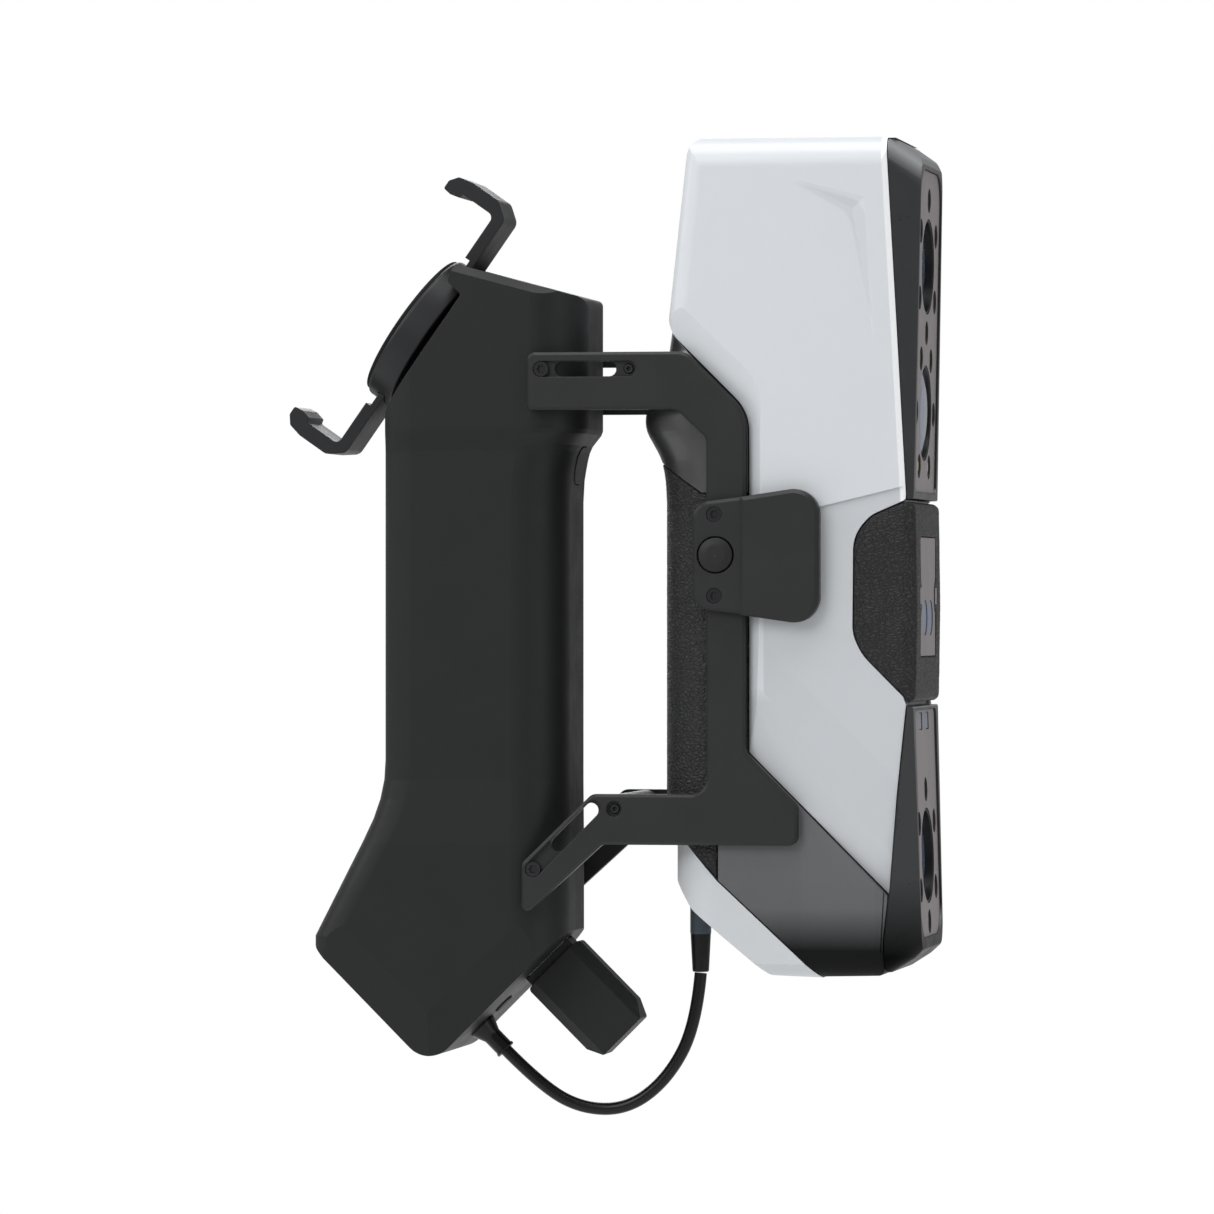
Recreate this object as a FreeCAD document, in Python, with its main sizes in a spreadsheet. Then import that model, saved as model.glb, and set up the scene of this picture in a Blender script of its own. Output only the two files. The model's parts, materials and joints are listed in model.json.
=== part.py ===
import FreeCAD, Part
import math
import os
import re

# Handheld three-camera scanner bracketed to a wireless battery handle with a spring phone cradle.
# Row frame, millimetres: origin in the middle of the battery handle's grip column, +X towards the
# scanner's camera face, +Y to the far side, +Z up.  The near side is -Y ("left").

doc = FreeCAD.newDocument("HandheldScanner")
V = FreeCAD.Vector
NEAR = -1
FAR = 1

# ---------------------------------------------------------------- driving dimensions
SIZES = [
    # scanner body
    ("cover_half", 25.5), ("cover_wall", 2.4), ("grip_half", 22.8), ("grip_wall", 2.6),
    ("lower_half", 22.9), ("lower_wall", 2.4),
    ("face_half", 20.6), ("face_depth", 1.2), ("face_inset", 0.6),
    ("pad_wall", 2.6), ("pad_half", 25.2), ("bezel_cavity_half", 20.2),
    ("upper_toe", 1.154), ("lower_toe", 1.718),
    ("side_camera_z", 94.5), ("colour_camera_z", 57.3), ("lower_camera_z", -55.1),
    ("camera_window", 12.15), ("barrel_radius", 12.0), ("barrel_bore", 11.5), ("barrel_length", 26.0),
    ("lens_radius", 11.3), ("lens_dome", 1.0), ("led_hole", 3.1), ("led_radius", 2.8),
    ("led_circle", 16.8), ("led_height", 4.3), ("board_thick", 1.6), ("colour_led_circle", 16.6),
    ("laser_window", 4.5), ("laser_spacing", 5.4), ("laser_z", 5.3),
    ("pattern_wide", 6.0), ("pattern_tall", 4.4), ("pattern_spacing", 6.25), ("pattern_z", -20.9),
    ("bench_thick", 2.5), ("bench_wide", 36.0), ("bench_tall", 180.0),
    ("main_board_wide", 34.0), ("main_board_tall", 120.0), ("main_board_low", -10.0),
    # battery handle
    ("handle_half", 22.3), ("head_half", 23.0), ("handle_wall", 2.4), ("front_round", 13.0),
    ("rear_round", 8.0), ("head_front", 28.5), ("column_front", 23.5), ("column_rear", 23.4),
    ("foot_plane", 69.5), ("trigger_half", 6.5), ("trigger_clear", 0.25),
    ("cell_radius", 9.25), ("cell_length", 65.0), ("cell_pitch", 19.2), ("cell_low", -32.0),
    ("handle_board_wide", 33.0), ("handle_board_tall", 112.0), ("handle_board_low", -62.0),
    ("handle_board_y", 13.0), ("power_radius", 2.8), ("power_along", 63.2),
    ("adapter_along", 46.4), ("adapter_wide", 18.4), ("adapter_thick", 11.0),
    ("adapter_long", 25.8), ("neck_wide", 15.0), ("neck_thick", 8.4), ("neck_long", 2.2),
    ("plug_wide", 12.0), ("plug_thick", 4.5), ("plug_long", 12.0), ("plug_clear", 0.15),
    # phone cradle, measured out of the slanted face (n) and along it (t)
    ("cradle_tilt", 55.0), ("face_n", 52.0), ("cradle_t", 55.0), ("drum_back", 54.0),
    ("drum_radius", 20.5), ("drum_thick", 7.4), ("pad_radius", 19.7), ("rest_thick", 0.9),
    ("hub_radius", 14.0), ("bar_half", 8.8), ("bar_back", 56.0), ("bar_thin", 1.7),
    ("bar_thick", 3.1), ("jaw_gap_half", 35.5), ("jaw_thick", 3.9),
    ("step_t", 22.6), ("gear_module", 0.6), ("gear_teeth", 14),
    # bracket
    ("plate_inner", 23.0), ("plate_thick", 3.0), ("plate_recess", 1.2), ("rod_radius", 3.6),
    ("rod_end_radius", 1.15), ("seat_radius", 2.05), ("seat_ledge", 0.15),
    ("screw_head", 1.9), ("screw_head_tall", 1.0), ("screw_shank", 1.2),
    ("clip_base_tall", 2.8), ("clip_wing_tall", 4.0), ("clip_button_radius", 4.35),
    ("clip_button_hole", 4.75), ("clip_travel", 1.1),
    # cable
    ("hub_pin", 1.6), ("cable_diameter", 3.2), ("boot_wide", 3.8), ("boot_narrow", 2.4),
    ("tail_wide", 2.7), ("tail_narrow", 2.1),
]
sheet = doc.addObject("Spreadsheet::Sheet", "Sizes")
for row, (alias, number) in enumerate(SIZES, start=1):
    sheet.set("A%d" % row, alias)
    sheet.set("B%d" % row, str(number))
    sheet.setAlias("B%d" % row, alias)
doc.recompute()


def size(alias):
    """A driving dimension as the sheet now holds it."""
    return float(sheet.get(alias))


def formula(text):
    """A sheet formula with each size written as the sheet's own property."""
    names = {alias for alias, number in SIZES}
    return re.sub(r"[a-z_]+", lambda m: "Sizes." + m.group(0) if m.group(0) in names else m.group(0), text)


nodes = []


def keep(item, label):
    """Name an object as a finished sub-part."""
    item.Label = label
    nodes.append(item)
    return item


# ---------------------------------------------------------------- outlines
def rounded(corners):
    """Lines and tangent arcs around a closed outline of (x, y, corner radius)."""
    count = len(corners)
    cuts = []
    for i in range(count):
        before = V(corners[i - 1][0], corners[i - 1][1], 0)
        here = V(corners[i][0], corners[i][1], 0)
        after = V(corners[(i + 1) % count][0], corners[(i + 1) % count][1], 0)
        back = (before - here).normalize()
        ahead = (after - here).normalize()
        radius = corners[i][2] if len(corners[i]) > 2 else 0.0
        if radius <= 0:
            cuts.append((here, None, here))
            continue
        half = back.getAngle(ahead) / 2.0
        run = radius / math.tan(half)
        middle = (back + ahead).normalize() * (radius / math.sin(half) - radius)
        cuts.append((here + back * run, here + middle, here + ahead * run))
    pieces = []
    for i in range(count):
        start, middle, end = cuts[i]
        if middle is not None:
            pieces.append(Part.Arc(start, middle, end))
        following = cuts[(i + 1) % count][0]
        if (following - end).Length > 1e-6:
            pieces.append(Part.LineSegment(end, following))
    return pieces


def circle(x, y, radius):
    """A full circle in the outline plane."""
    return [Part.Circle(V(x, y, 0), V(0, 0, 1), radius)]


def between(first, second, share):
    """The point a share of the way from one point to another."""
    return tuple(a + (b - a) * share for a, b in zip(first, second))


def slot(first, second, half):
    """A round-ended slot between two end points, which are its end centres."""
    a, b = V(*first, 0), V(*second, 0)
    along = (b - a).normalize()
    side = V(-along.y, along.x, 0) * half
    return [Part.LineSegment(a + side, b + side), Part.Arc(b + side, b + along * half, b - side),
            Part.LineSegment(b - side, a - side), Part.Arc(a - side, a - along * half, a + side)]


def face_of(pieces):
    """A face from closed outline pieces in the outline plane."""
    wire = Part.Wire(Part.__sortEdges__([piece.toShape() for piece in pieces]))
    return Part.Face(wire)


UPRIGHT = FreeCAD.Rotation(V(1, 0, 0), 90)


def side_prism(pieces, low, high):
    """A side outline (X, Z) filled from Y = low to Y = high."""
    face = face_of(pieces)
    face.Placement = FreeCAD.Placement(V(0, low, 0), UPRIGHT)
    return face.extrude(V(0, high - low, 0))


def box(x0, x1, y0, y1, z0, z1):
    """A box between limits."""
    return Part.makeBox(x1 - x0, y1 - y0, z1 - z0, V(x0, y0, z0))


def beyond(point, normal, reach=260.0):
    """A large block filling everything on the outer side of a plane."""
    block = Part.makeBox(reach, reach, reach, V(-reach / 2, -reach / 2, 0))
    block.Placement = FreeCAD.Placement(point, FreeCAD.Rotation(V(0, 0, 1), normal))
    return block


def edge_rounder(point, first, second, radius):
    """Cutter that rounds the edge through a point where faces of two outward normals meet."""
    first, second = V(first).normalize(), V(second).normalize()
    axis = first.cross(second).normalize()
    spread = math.cos(first.getAngle(second) / 2.0)
    middle = (first + second).normalize()
    centre = point - middle * (radius / spread)
    toward_first = first - second * first.dot(second)
    toward_second = second - first * first.dot(second)
    corner = beyond(centre, toward_first).common(beyond(centre, toward_second))
    rod = Part.makeCylinder(radius, 400.0, centre - axis * 200.0, axis)
    return corner.cut(rod)


def moved(shape, place):
    """A copy of a shape in a placement."""
    copy = shape.copy()
    copy.Placement = place.multiply(copy.Placement)
    return copy


def mirrored(shape):
    """The far-side copy of a near-side shape."""
    return shape.mirror(V(0, 0, 0), V(0, 1, 0))


def picked(shape, test):
    """The edges whose every sample point passes a test."""
    found = []
    for edge in shape.Edges:
        first, last = edge.ParameterRange
        samples = [edge.valueAt(first + (last - first) * k / 4.0) for k in range(5)]
        if all(test(p) for p in samples):
            found.append(edge)
    return found


def feature(label, shape, place=None):
    """A Part::Feature sub-part from a finished shape."""
    item = doc.addObject("Part::Feature", label)
    item.Shape = shape
    if place is not None:
        item.Placement = place
    return keep(item, label)


# ---------------------------------------------------------------- parametric object helpers
def plane_of(body, role):
    """One of a body's own origin planes."""
    return [p for p in body.Origin.OriginFeatures if p.Role == role][0]


def sketch_on(body, role, pieces, offset=None):
    """A sketch of outline pieces on an origin plane, shifted along its normal by a sheet formula."""
    sketch = body.newObject("Sketcher::SketchObject", "Outline")
    sketch.AttachmentSupport = [(plane_of(body, role), "")]
    sketch.MapMode = "FlatFace"
    for piece in pieces:
        sketch.addGeometry(piece, False)
    if offset is not None:
        sketch.setExpression("AttachmentOffset.Base.z", formula(offset))
    return sketch


def add_pad(body, sketch, length):
    """A pad whose length follows a sheet formula."""
    pad = body.newObject("PartDesign::Pad", "Pad")
    pad.Profile = sketch
    pad.setExpression("Length", formula(length))
    sketch.Visibility = False
    return pad


def add_pocket(body, sketch, length, reverse=False):
    """A pocket whose depth follows a sheet formula."""
    pocket = body.newObject("PartDesign::Pocket", "Pocket")
    pocket.Profile = sketch
    pocket.setExpression("Length", formula(length))
    pocket.Reversed = reverse
    return pocket


def dress(body, kind, amount, test):
    """A fillet or chamfer on the edges of the body's last feature that pass a test."""
    doc.recompute()
    base = body.Tip
    names = []
    for i, edge in enumerate(base.Shape.Edges, start=1):
        first, last = edge.ParameterRange
        samples = [edge.valueAt(first + (last - first) * k / 4.0) for k in range(5)]
        if all(test(p) for p in samples):
            names.append("Edge%d" % i)
    item = body.newObject("PartDesign::" + kind, kind)
    item.Base = (base, names)
    if kind == "Fillet":
        item.Radius = amount
    else:
        item.Size = amount
    return item


def turned(label, profile, place=None):
    """A PartDesign body revolved about its own Z from a profile of (radius, height)."""
    body = doc.addObject("PartDesign::Body", label)
    sketch = sketch_on(body, "XZ_Plane", rounded(profile))
    turn = body.newObject("PartDesign::Revolution", "Turned")
    turn.Profile = sketch
    turn.ReferenceAxis = (sketch, ["V_Axis"])
    turn.Angle = 360
    sketch.Visibility = False
    if place is not None:
        body.Placement = place
    return keep(body, label)


def cylinder(name, radius, height, place):
    """A Part::Cylinder bound to sheet formulas."""
    item = doc.addObject("Part::Cylinder", name)
    item.setExpression("Radius", formula(radius))
    item.setExpression("Height", formula(height))
    item.Placement = place
    return item


def brick(name, length, width, height, place):
    """A Part::Box bound to sheet formulas."""
    item = doc.addObject("Part::Box", name)
    item.setExpression("Length", formula(length))
    item.setExpression("Width", formula(width))
    item.setExpression("Height", formula(height))
    item.Placement = place
    return item


def joined(name, items):
    """The union of parametric objects."""
    item = doc.addObject("Part::MultiFuse", name)
    item.Shapes = items
    return item


def cut(name, base, tool):
    """One parametric object cut by another."""
    item = doc.addObject("Part::Cut", name)
    item.Base = base
    item.Tool = tool
    return item


SLOT_SCREWS = [(18.95, 68.25), (16.9, -58.4)]

# ================================================================ battery handle
FLARE = [(-31, 23.4), (-36, 23.7), (-41, 24.7), (-46, 26.4), (-52, 29.2), (-76, 41.5), (-118, 41.5)]
NECK = [(35.0, 0.0, 0.0), (40.6, 0.3, 0.0), (43.1, 0.7, 0.0), (45.7, 1.2, 0.0), (47.7, 1.7, 0.0),
        (49.3, 2.4, 0.2), (52.2, 4.6, 0.9), (53.4, 5.0, 1.0), (102.0, 5.0, 1.0)]
DROP = math.sqrt(0.5)
SLANT = FreeCAD.Rotation(V(0, 1, 0), -size("cradle_tilt"))


def cradle_point(n, t, y=0.0):
    """A row-frame point from its height off and run along the slanted cradle face."""
    return SLANT.multVec(V(t, y, n))


def cradle_place(n, t, y=0.0):
    """Placement whose Z stands out of the cradle face and whose X runs up along it."""
    return FreeCAD.Placement(cradle_point(n, t, y), SLANT)


def cradle_corner(n, t, radius=0.0):
    """A side-outline corner from cradle distances."""
    point = cradle_point(n, t)
    return (point.x, point.z, radius)


def foot_place(along, y=0.0, out=0.0):
    """Placement on the lower front 45 degree face, Z pointing out of it, X up the face."""
    face = FreeCAD.Rotation(V(0, 1, 0), 135).multiply(FreeCAD.Rotation(V(0, 0, 1), 180))
    d, p = size("foot_plane") + out, -along
    return FreeCAD.Placement(V((d + p) * DROP, y, (p - d) * DROP), face)


def grip_section(z, front, rear, half, inset):
    """A rounded-rectangle section of the handle at one height, shrunk by an inset."""
    fr = size("front_round") - inset
    rr = size("rear_round") - inset
    corners = [(front - inset, -half + inset, fr), (front - inset, half - inset, fr),
               (-rear + inset, half - inset, rr), (-rear + inset, -half + inset, rr)]
    wire = Part.Wire(Part.__sortEdges__([piece.toShape() for piece in rounded(corners)]))
    wire.translate(V(0, 0, z))
    return wire


def grip_loft(inset):
    """The handle's swept mass before its ends are cut."""
    front, rear = size("column_front"), size("column_rear")
    half, head = size("handle_half"), size("head_half")
    sections = []
    for z, back in reversed(FLARE):
        wide = head if z <= -52 else half + (head - half) * max(0.0, (-z - 36) / 16.0)
        sections.append(grip_section(z, front, back, wide, inset))
    for z, step, wide in NECK:
        sections.append(grip_section(z, front + step, rear, half + (head - half) * wide, inset))
    return Part.makeLoft(sections, True, True)


def side_outline(inset):
    """The handle's side silhouette, moved in by the inset."""
    edge = size("head_front")
    corners = [(edge, 86.6, 3.0), (edge, -69.8, 2.5), (-10.9, -109.2, 7.0), (-41.5, -78.5, 3.0),
               cradle_corner(52.0, 1.5), cradle_corner(52.0, 70.3, 0.8),
               cradle_corner(56.9, 71.1, 1.2), (-4.2, 95.35, 1.5)]
    face = face_of(rounded(corners))
    return face if inset == 0 else face.makeOffset2D(-inset)


def handle_mass(inset):
    """The handle as a solid, its walls moved in by the inset."""
    face = side_outline(inset)
    face.Placement = FreeCAD.Placement(V(0, -40, 0), UPRIGHT)
    silhouette = face.extrude(V(0, 80, 0))
    return grip_loft(inset).common(silhouette)


outer = handle_mass(0.0)
TOP_NORMAL = V(0.2587, 0, 0.966)
for side in (NEAR, FAR):
    rim = V(-4.2, side * size("head_half"), 95.35) - TOP_NORMAL * 2.0
    outer = outer.cut(beyond(rim, TOP_NORMAL + V(0, side, 0)))
FOOT_BEVELS = [(V(-26.2, 0, -93.85), V(1, 0, 1)), (V(9.3, 0, -89.0), V(-1, 0, 1))]
BEVEL_WIDE, BEVEL_SLOPE = 10.0, 0.17
for edge_point, inward in FOOT_BEVELS:
    for side in (NEAR, FAR):
        start = edge_point + V(inward).normalize() * BEVEL_WIDE + V(0, side * size("head_half"), 0)
        outer = outer.cut(beyond(start, V(0, side, 0) - V(inward).normalize() * BEVEL_SLOPE))
hollow = handle_mass(size("handle_wall"))
channel = moved(box(64, 96, -9.7, 9.7, 0, 12), FreeCAD.Placement(cradle_point(size("face_n"), 0), SLANT))
drum_seat = cradle_point(size("face_n") + 1.7, size("cradle_t"))
drum_room = Part.makeCylinder(size("drum_radius") + 0.3, 12, drum_seat, cradle_point(1, 0))


def trigger_prism(grow, start, end):
    """The trigger's oval outline as a block along X."""
    half, low, high, round_by = size("trigger_half") + grow, 39.5 - grow, 48.9 + grow, 4.5 + grow
    oval = [(-half, low, round_by), (half, low, round_by), (half, high, round_by), (-half, high, round_by)]
    block = face_of(rounded(oval)).extrude(V(0, 0, end - start))
    block.Placement = FreeCAD.Placement(V(start, 0, 0), FreeCAD.Rotation(V(1, 1, 1), 120))
    return block


shell = outer.cut(hollow).cut(channel).cut(drum_room).cut(trigger_prism(size("trigger_clear"), 18, 34))
ear_zone = moved(box(60, 96, -30, 30, -6, 12), FreeCAD.Placement(cradle_point(size("face_n"), 0), SLANT))
ear_block = outer.common(ear_zone).cut(channel).cut(drum_room)
shell = shell.fuse(ear_block.cut(box(-30, 40, -30, 30, 60, 86.0))).removeSplitter()
port = moved(box(-7.6, 7.6, -4.3, 4.3, -9, 3), foot_place(size("adapter_along")))
power_hole = moved(Part.makeCylinder(size("power_radius") + 0.2, 12, V(0, 0, -8)),
                   foot_place(size("power_along")))
cable_hole = moved(Part.makeCylinder(2.6, 12, V(0, 0, -8)), foot_place(71.2))
shell = shell.cut(port).cut(power_hole).cut(cable_hole)
for x, z in SLOT_SCREWS:
    shell = shell.cut(Part.makeCylinder(size("screw_shank") + 0.05, 60, V(x, -30, z), V(0, 1, 0)))
for n, t in ((44, 48), (44, 62)):
    pin = Part.makeCylinder(1.25, 16, cradle_point(n, t), cradle_point(1, 0))
    shell = shell.cut(pin)
left = shell.common(box(-60, 60, -40, 0, -130, 130))
right = shell.common(box(-60, 60, 0, 40, -130, 130))
feature("handle_shell_left", left)
feature("handle_shell_right", right)

# trigger and its switch under the head
proud = handle_mass(-0.25)
trigger = trigger_prism(0.0, 19.5, 34).common(proud).fuse(trigger_prism(1.2, 18.5, 20.3))
feature("trigger", trigger.removeSplitter())
switch_body = brick("SwitchCase", "handle_wall + 5.6", "trigger_half + 2", "trigger_half + 2",
                    FreeCAD.Placement(V(7.5, -4.25, 40.2), FreeCAD.Rotation()))
plunger = cylinder("SwitchPlunger", "cable_diameter / 2", "cable_diameter / 2",
                   FreeCAD.Placement(V(15.4, 0, 44.5), FreeCAD.Rotation(V(0, 1, 0), 90)))
keep(joined("SwitchAll", [switch_body, plunger]), "trigger_switch")

# power key in the lower front face
power_profile = [(0, -4.6), (4.0, -4.6), (4.0, -2.7), (size("power_radius"), -2.7),
                 (size("power_radius"), 0.5, 0.3), (0, 0.5)]
turned("power_button", power_profile, foot_place(size("power_along")))

# battery cells and control board
cells = []
for k in (-0.5, 0.5):
    cell = cylinder("Cell", "cell_radius", "cell_length",
                    FreeCAD.Placement(V(k * size("cell_pitch"), 0, size("cell_low")), FreeCAD.Rotation()))
    cells.append(cell)
keep(joined("CellPair", cells), "battery_cells")
board_at = V(-16.5, size("handle_board_y"), size("handle_board_low"))
board = brick("ControlBoard", "handle_board_wide", "board_thick", "handle_board_tall",
              FreeCAD.Placement(board_at, FreeCAD.Rotation()))
keep(board, "handle_board")

# wireless adapter plugged into the lower front face
foot = foot_place(size("adapter_along"))
socket_shell = brick("SocketShell", "neck_wide - 0.4", "neck_thick - 0.4", "plug_long + 0.9",
                     foot.multiply(FreeCAD.Placement(V(-7.3, -4.0, -13.4), FreeCAD.Rotation())))
bore_at = foot.multiply(FreeCAD.Placement(V(-6.15, -2.4, -12.4), FreeCAD.Rotation()))
socket_bore = brick("SocketBore", "plug_wide + 2 * plug_clear", "plug_thick + 2 * plug_clear",
                    "plug_long + 3", bore_at)
keep(cut("SocketHollow", socket_shell, socket_bore), "usb_socket")

half_wide, half_thick = size("adapter_wide") / 2, size("adapter_thick") / 2
half_neck = size("neck_wide") / 2
low, high = size("neck_long") + 0.2, size("neck_long") + 0.2 + size("adapter_long")
CASE_BEVEL, TIP_LONG, TIP_WIDE = 2.8, 4.4, 2.5
case_side = [(-half_wide, low, 1.0), (-half_wide, high - TIP_LONG, 0.8), (-half_wide + TIP_WIDE, high, 0.8),
             (half_wide - TIP_WIDE, high, 0.8), (half_wide, high - TIP_LONG, 0.8), (half_wide, low, 1.0)]
case_end = []
for x, y in ((1, 1), (-1, 1), (-1, -1), (1, -1)):
    corner = [(x * (half_wide - CASE_BEVEL), y * half_thick), (x * half_wide, y * (half_thick - CASE_BEVEL))]
    case_end += corner[::-1] if x * y > 0 else corner
case = side_prism(rounded(case_side), -half_thick, half_thick)
case = case.common(face_of(rounded(case_end)).extrude(V(0, 0, 40)))
neck = box(-half_neck, half_neck, -size("neck_thick") / 2, size("neck_thick") / 2, 0.2, low + 0.4)
feature("adapter_body", case.fuse(neck).removeSplitter(), foot)
plug = brick("PlugMetal", "plug_wide", "plug_thick", "plug_long",
             foot.multiply(FreeCAD.Placement(V(-6.0, -2.25, -11.8), FreeCAD.Rotation())))
keep(plug, "adapter_plug")

# ================================================================ cable
ROUTE = [(4.1, -104.8), (12.6, -113.3), (23.5, -120.4), (36.5, -120.9), (47.3, -112.8),
         (54.6, -99.0), (55.8, -85.6)]
boot_wide, boot_narrow = size("boot_wide"), size("boot_narrow")
boot_profile = [(0, -5.5), (2.5, -5.5), (2.5, 0.02), (boot_wide, 0.02), (boot_wide, 0.6, 0.3),
                (boot_narrow, 3.8, 1.5), (boot_narrow, 8.2), (boot_narrow + 0.25, 8.3),
                (boot_narrow + 0.25, 9.0, 0.2), (0, 9.0)]
turned("cable_boot", boot_profile, foot_place(71.2))


def cable_path(points):
    """Straight runs joined by tangent arcs, each as large as its shorter run allows."""
    runs = [V(x, 0, z) for x, z in points]
    pieces = []
    start = runs[0]
    for i in range(1, len(runs) - 1):
        back = runs[i - 1] - runs[i]
        ahead = runs[i + 1] - runs[i]
        turn = math.pi - back.getAngle(ahead)
        run = 0.45 * min(back.Length, ahead.Length)
        radius = run / math.tan(turn / 2)
        print("cable bend radius", round(radius, 1))
        enter = runs[i] + back.normalize() * run
        leave = runs[i] + ahead.normalize() * run
        middle = runs[i] + (back + ahead).normalize() * (radius / math.cos(turn / 2) - radius)
        pieces.append(Part.LineSegment(start, enter).toShape())
        pieces.append(Part.Arc(enter, middle, leave).toShape())
        start = leave
    pieces.append(Part.LineSegment(start, runs[-1]).toShape())
    return Part.Wire(pieces)


path = cable_path(ROUTE)
cable_end = Part.Circle(V(ROUTE[0][0], 0, ROUTE[0][1]), V(1, 0, -1), size("cable_diameter") / 2)
tube = path.makePipeShell([Part.Wire([cable_end.toShape()])], True, False)
expected = math.pi * (size("cable_diameter") / 2) ** 2 * path.Length
print("cable length", round(path.Length, 1), "volume share", round(tube.Volume / expected, 4))
feature("cable_tube", tube)
tail_profile = [(0, -85.3), (size("tail_narrow"), -85.3, 0.4), (size("tail_narrow") + 0.5, -75.7),
                (size("tail_wide"), -75.2), (size("tail_wide"), -60.0), (0, -60.0)]
turned("cable_plug", tail_profile, FreeCAD.Placement(V(55.8, 0, 0), FreeCAD.Rotation()))

# ================================================================ phone cradle
middle_t = size("cradle_t")
base_profile = [(0, 52.0), (size("hub_radius"), 52.0), (size("hub_radius"), 54.0), (18.3, 54.0),
                (18.3, 55.7), (2.6, 55.7), (2.6, 55.9), (size("hub_pin"), 55.9), (size("hub_pin"), 59.5),
                (0, 59.5)]
turned("cradle_base", base_profile, cradle_place(0, middle_t))
drum_top = size("drum_back") + size("drum_thick")
drum = doc.addObject("PartDesign::Body", "DrumBody")
drum_profile = [(18.5, 54.0), (size("drum_radius"), 54.0, 0.5), (size("drum_radius"), drum_top, 1.0),
                (0, drum_top), (0, 59.6), (18.5, 59.6)]
drum_sketch = sketch_on(drum, "XZ_Plane", rounded(drum_profile))
drum_turn = drum.newObject("PartDesign::Revolution", "Turned")
drum_turn.Profile = drum_sketch
drum_turn.ReferenceAxis = (drum_sketch, ["V_Axis"])
drum_turn.Angle = 360
bar_way = brick("BarWay", "2 * drum_radius + 4", "2 * bar_half + 0.5", "bar_thin + 0.4",
                FreeCAD.Placement(V(-22.5, -size("bar_half") - 0.25, 55.8), FreeCAD.Rotation()))
drum_cut = cut("DrumSlotted", drum, bar_way)
drum_cut.Placement = cradle_place(0, middle_t)
keep(drum_cut, "cradle_drum")
rest_top = drum_top + size("rest_thick")
rest_radius = size("pad_radius")
pad_profile = [(0, drum_top), (rest_radius, drum_top), (rest_radius, rest_top, 0.3), (0, rest_top)]
turned("cradle_pad", pad_profile, cradle_place(0, middle_t))

PITCH = math.pi * size("gear_module")
PITCH_RADIUS = size("gear_module") * size("gear_teeth") / 2
RACK_TIP, RACK_ROOT, BACKLASH = 0.45, 0.65, 0.12
SLOPE = math.tan(math.radians(20))


def rack_plan():
    """Plan outline of a jaw bar: a toothed arm inside the drum, full width outside it."""
    half = size("bar_half")
    root = -PITCH_RADIUS - RACK_ROOT
    tip = -PITCH_RADIUS + RACK_TIP
    wide = (PITCH / 2 - BACKLASH) / 2
    points = [(-15.0, -half), (60.0, -half), (60.0, half), (15.4, half), (15.4, root)]
    for k in range(2, -8, -1):
        at = k * PITCH
        points += [(at + wide + RACK_ROOT * SLOPE, root), (at + wide - RACK_TIP * SLOPE, tip),
                   (at - wide + RACK_TIP * SLOPE, tip), (at - wide - RACK_ROOT * SLOPE, root)]
    points.append((-15.0, root))
    return points


def jaw_shape():
    """A jaw: toothed arm, stepped bar, elbow and hooked arm, out along +X from the pinion."""
    gap, thick, back = size("jaw_gap_half"), size("jaw_thick"), size("bar_back")
    thin, full = back + size("bar_thin"), back + size("bar_thick")
    side = [(-15.0, back), (-15.0, thin), (size("step_t"), thin), (size("step_t"), full),
            (gap, full, 1.6), (gap, 68.8, 0.4), (gap - 1.2, 69.1, 0.3), (gap - 1.8, 71.6, 0.8),
            (gap - 1.5, 73.9, 0.6), (gap + 0.9, 73.9, 1.0), (gap + 3.1, 72.2, 1.0),
            (gap + thick, 68.6, 1.5), (gap + thick, 60.2, 2.5), (gap + 0.7, back, 2.5)]
    bar = side_prism(rounded(side), -size("bar_half"), size("bar_half"))
    plan = face_of(rounded(rack_plan())).extrude(V(0, 0, 40))
    plan.translate(V(0, 0, 50))
    return bar.common(plan)


jaw = jaw_shape()
HALF_TURN = FreeCAD.Placement(V(0, 0, 0), FreeCAD.Rotation(V(0, 0, 1), 180))
feature("jaw_upper", jaw, cradle_place(0, middle_t))
feature("jaw_lower", jaw, cradle_place(0, middle_t).multiply(HALF_TURN))


def pinion_plan():
    """The pinion's tooth outline, with a gap facing each rack."""
    teeth = int(size("gear_teeth"))
    base = PITCH_RADIUS * math.cos(math.radians(20))
    root, tip = PITCH_RADIUS - 0.60, PITCH_RADIUS + 0.50

    def involute(radius):
        angle = math.acos(min(1.0, base / radius))
        return math.tan(angle) - angle

    half = (PITCH / 2 - BACKLASH) / 2 / PITCH_RADIUS + involute(PITCH_RADIUS)
    radii = [base + (tip - base) * k / 4.0 for k in range(5)]
    points = []
    for k in range(teeth):
        middle = math.pi / 2 + (k + 0.5) * 2 * math.pi / teeth
        flank = [(root, half)] + [(r, half - involute(r)) for r in radii]
        for r, a in flank:
            points.append((r * math.cos(middle - a), r * math.sin(middle - a)))
        for r, a in reversed(flank):
            points.append((r * math.cos(middle + a), r * math.sin(middle + a)))
    return points


gear = face_of(rounded(pinion_plan())).extrude(V(0, 0, size("bar_thin")))
gear.translate(V(0, 0, size("bar_back")))
gear = gear.fuse(Part.makeCylinder(2.6, 1.6, V(0, 0, size("bar_back") + size("bar_thin"))))
gear = gear.cut(Part.makeCylinder(size("hub_pin") + 0.05, 8, V(0, 0, 54))).removeSplitter()
feature("jaw_pinion", gear, cradle_place(0, middle_t))


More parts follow.
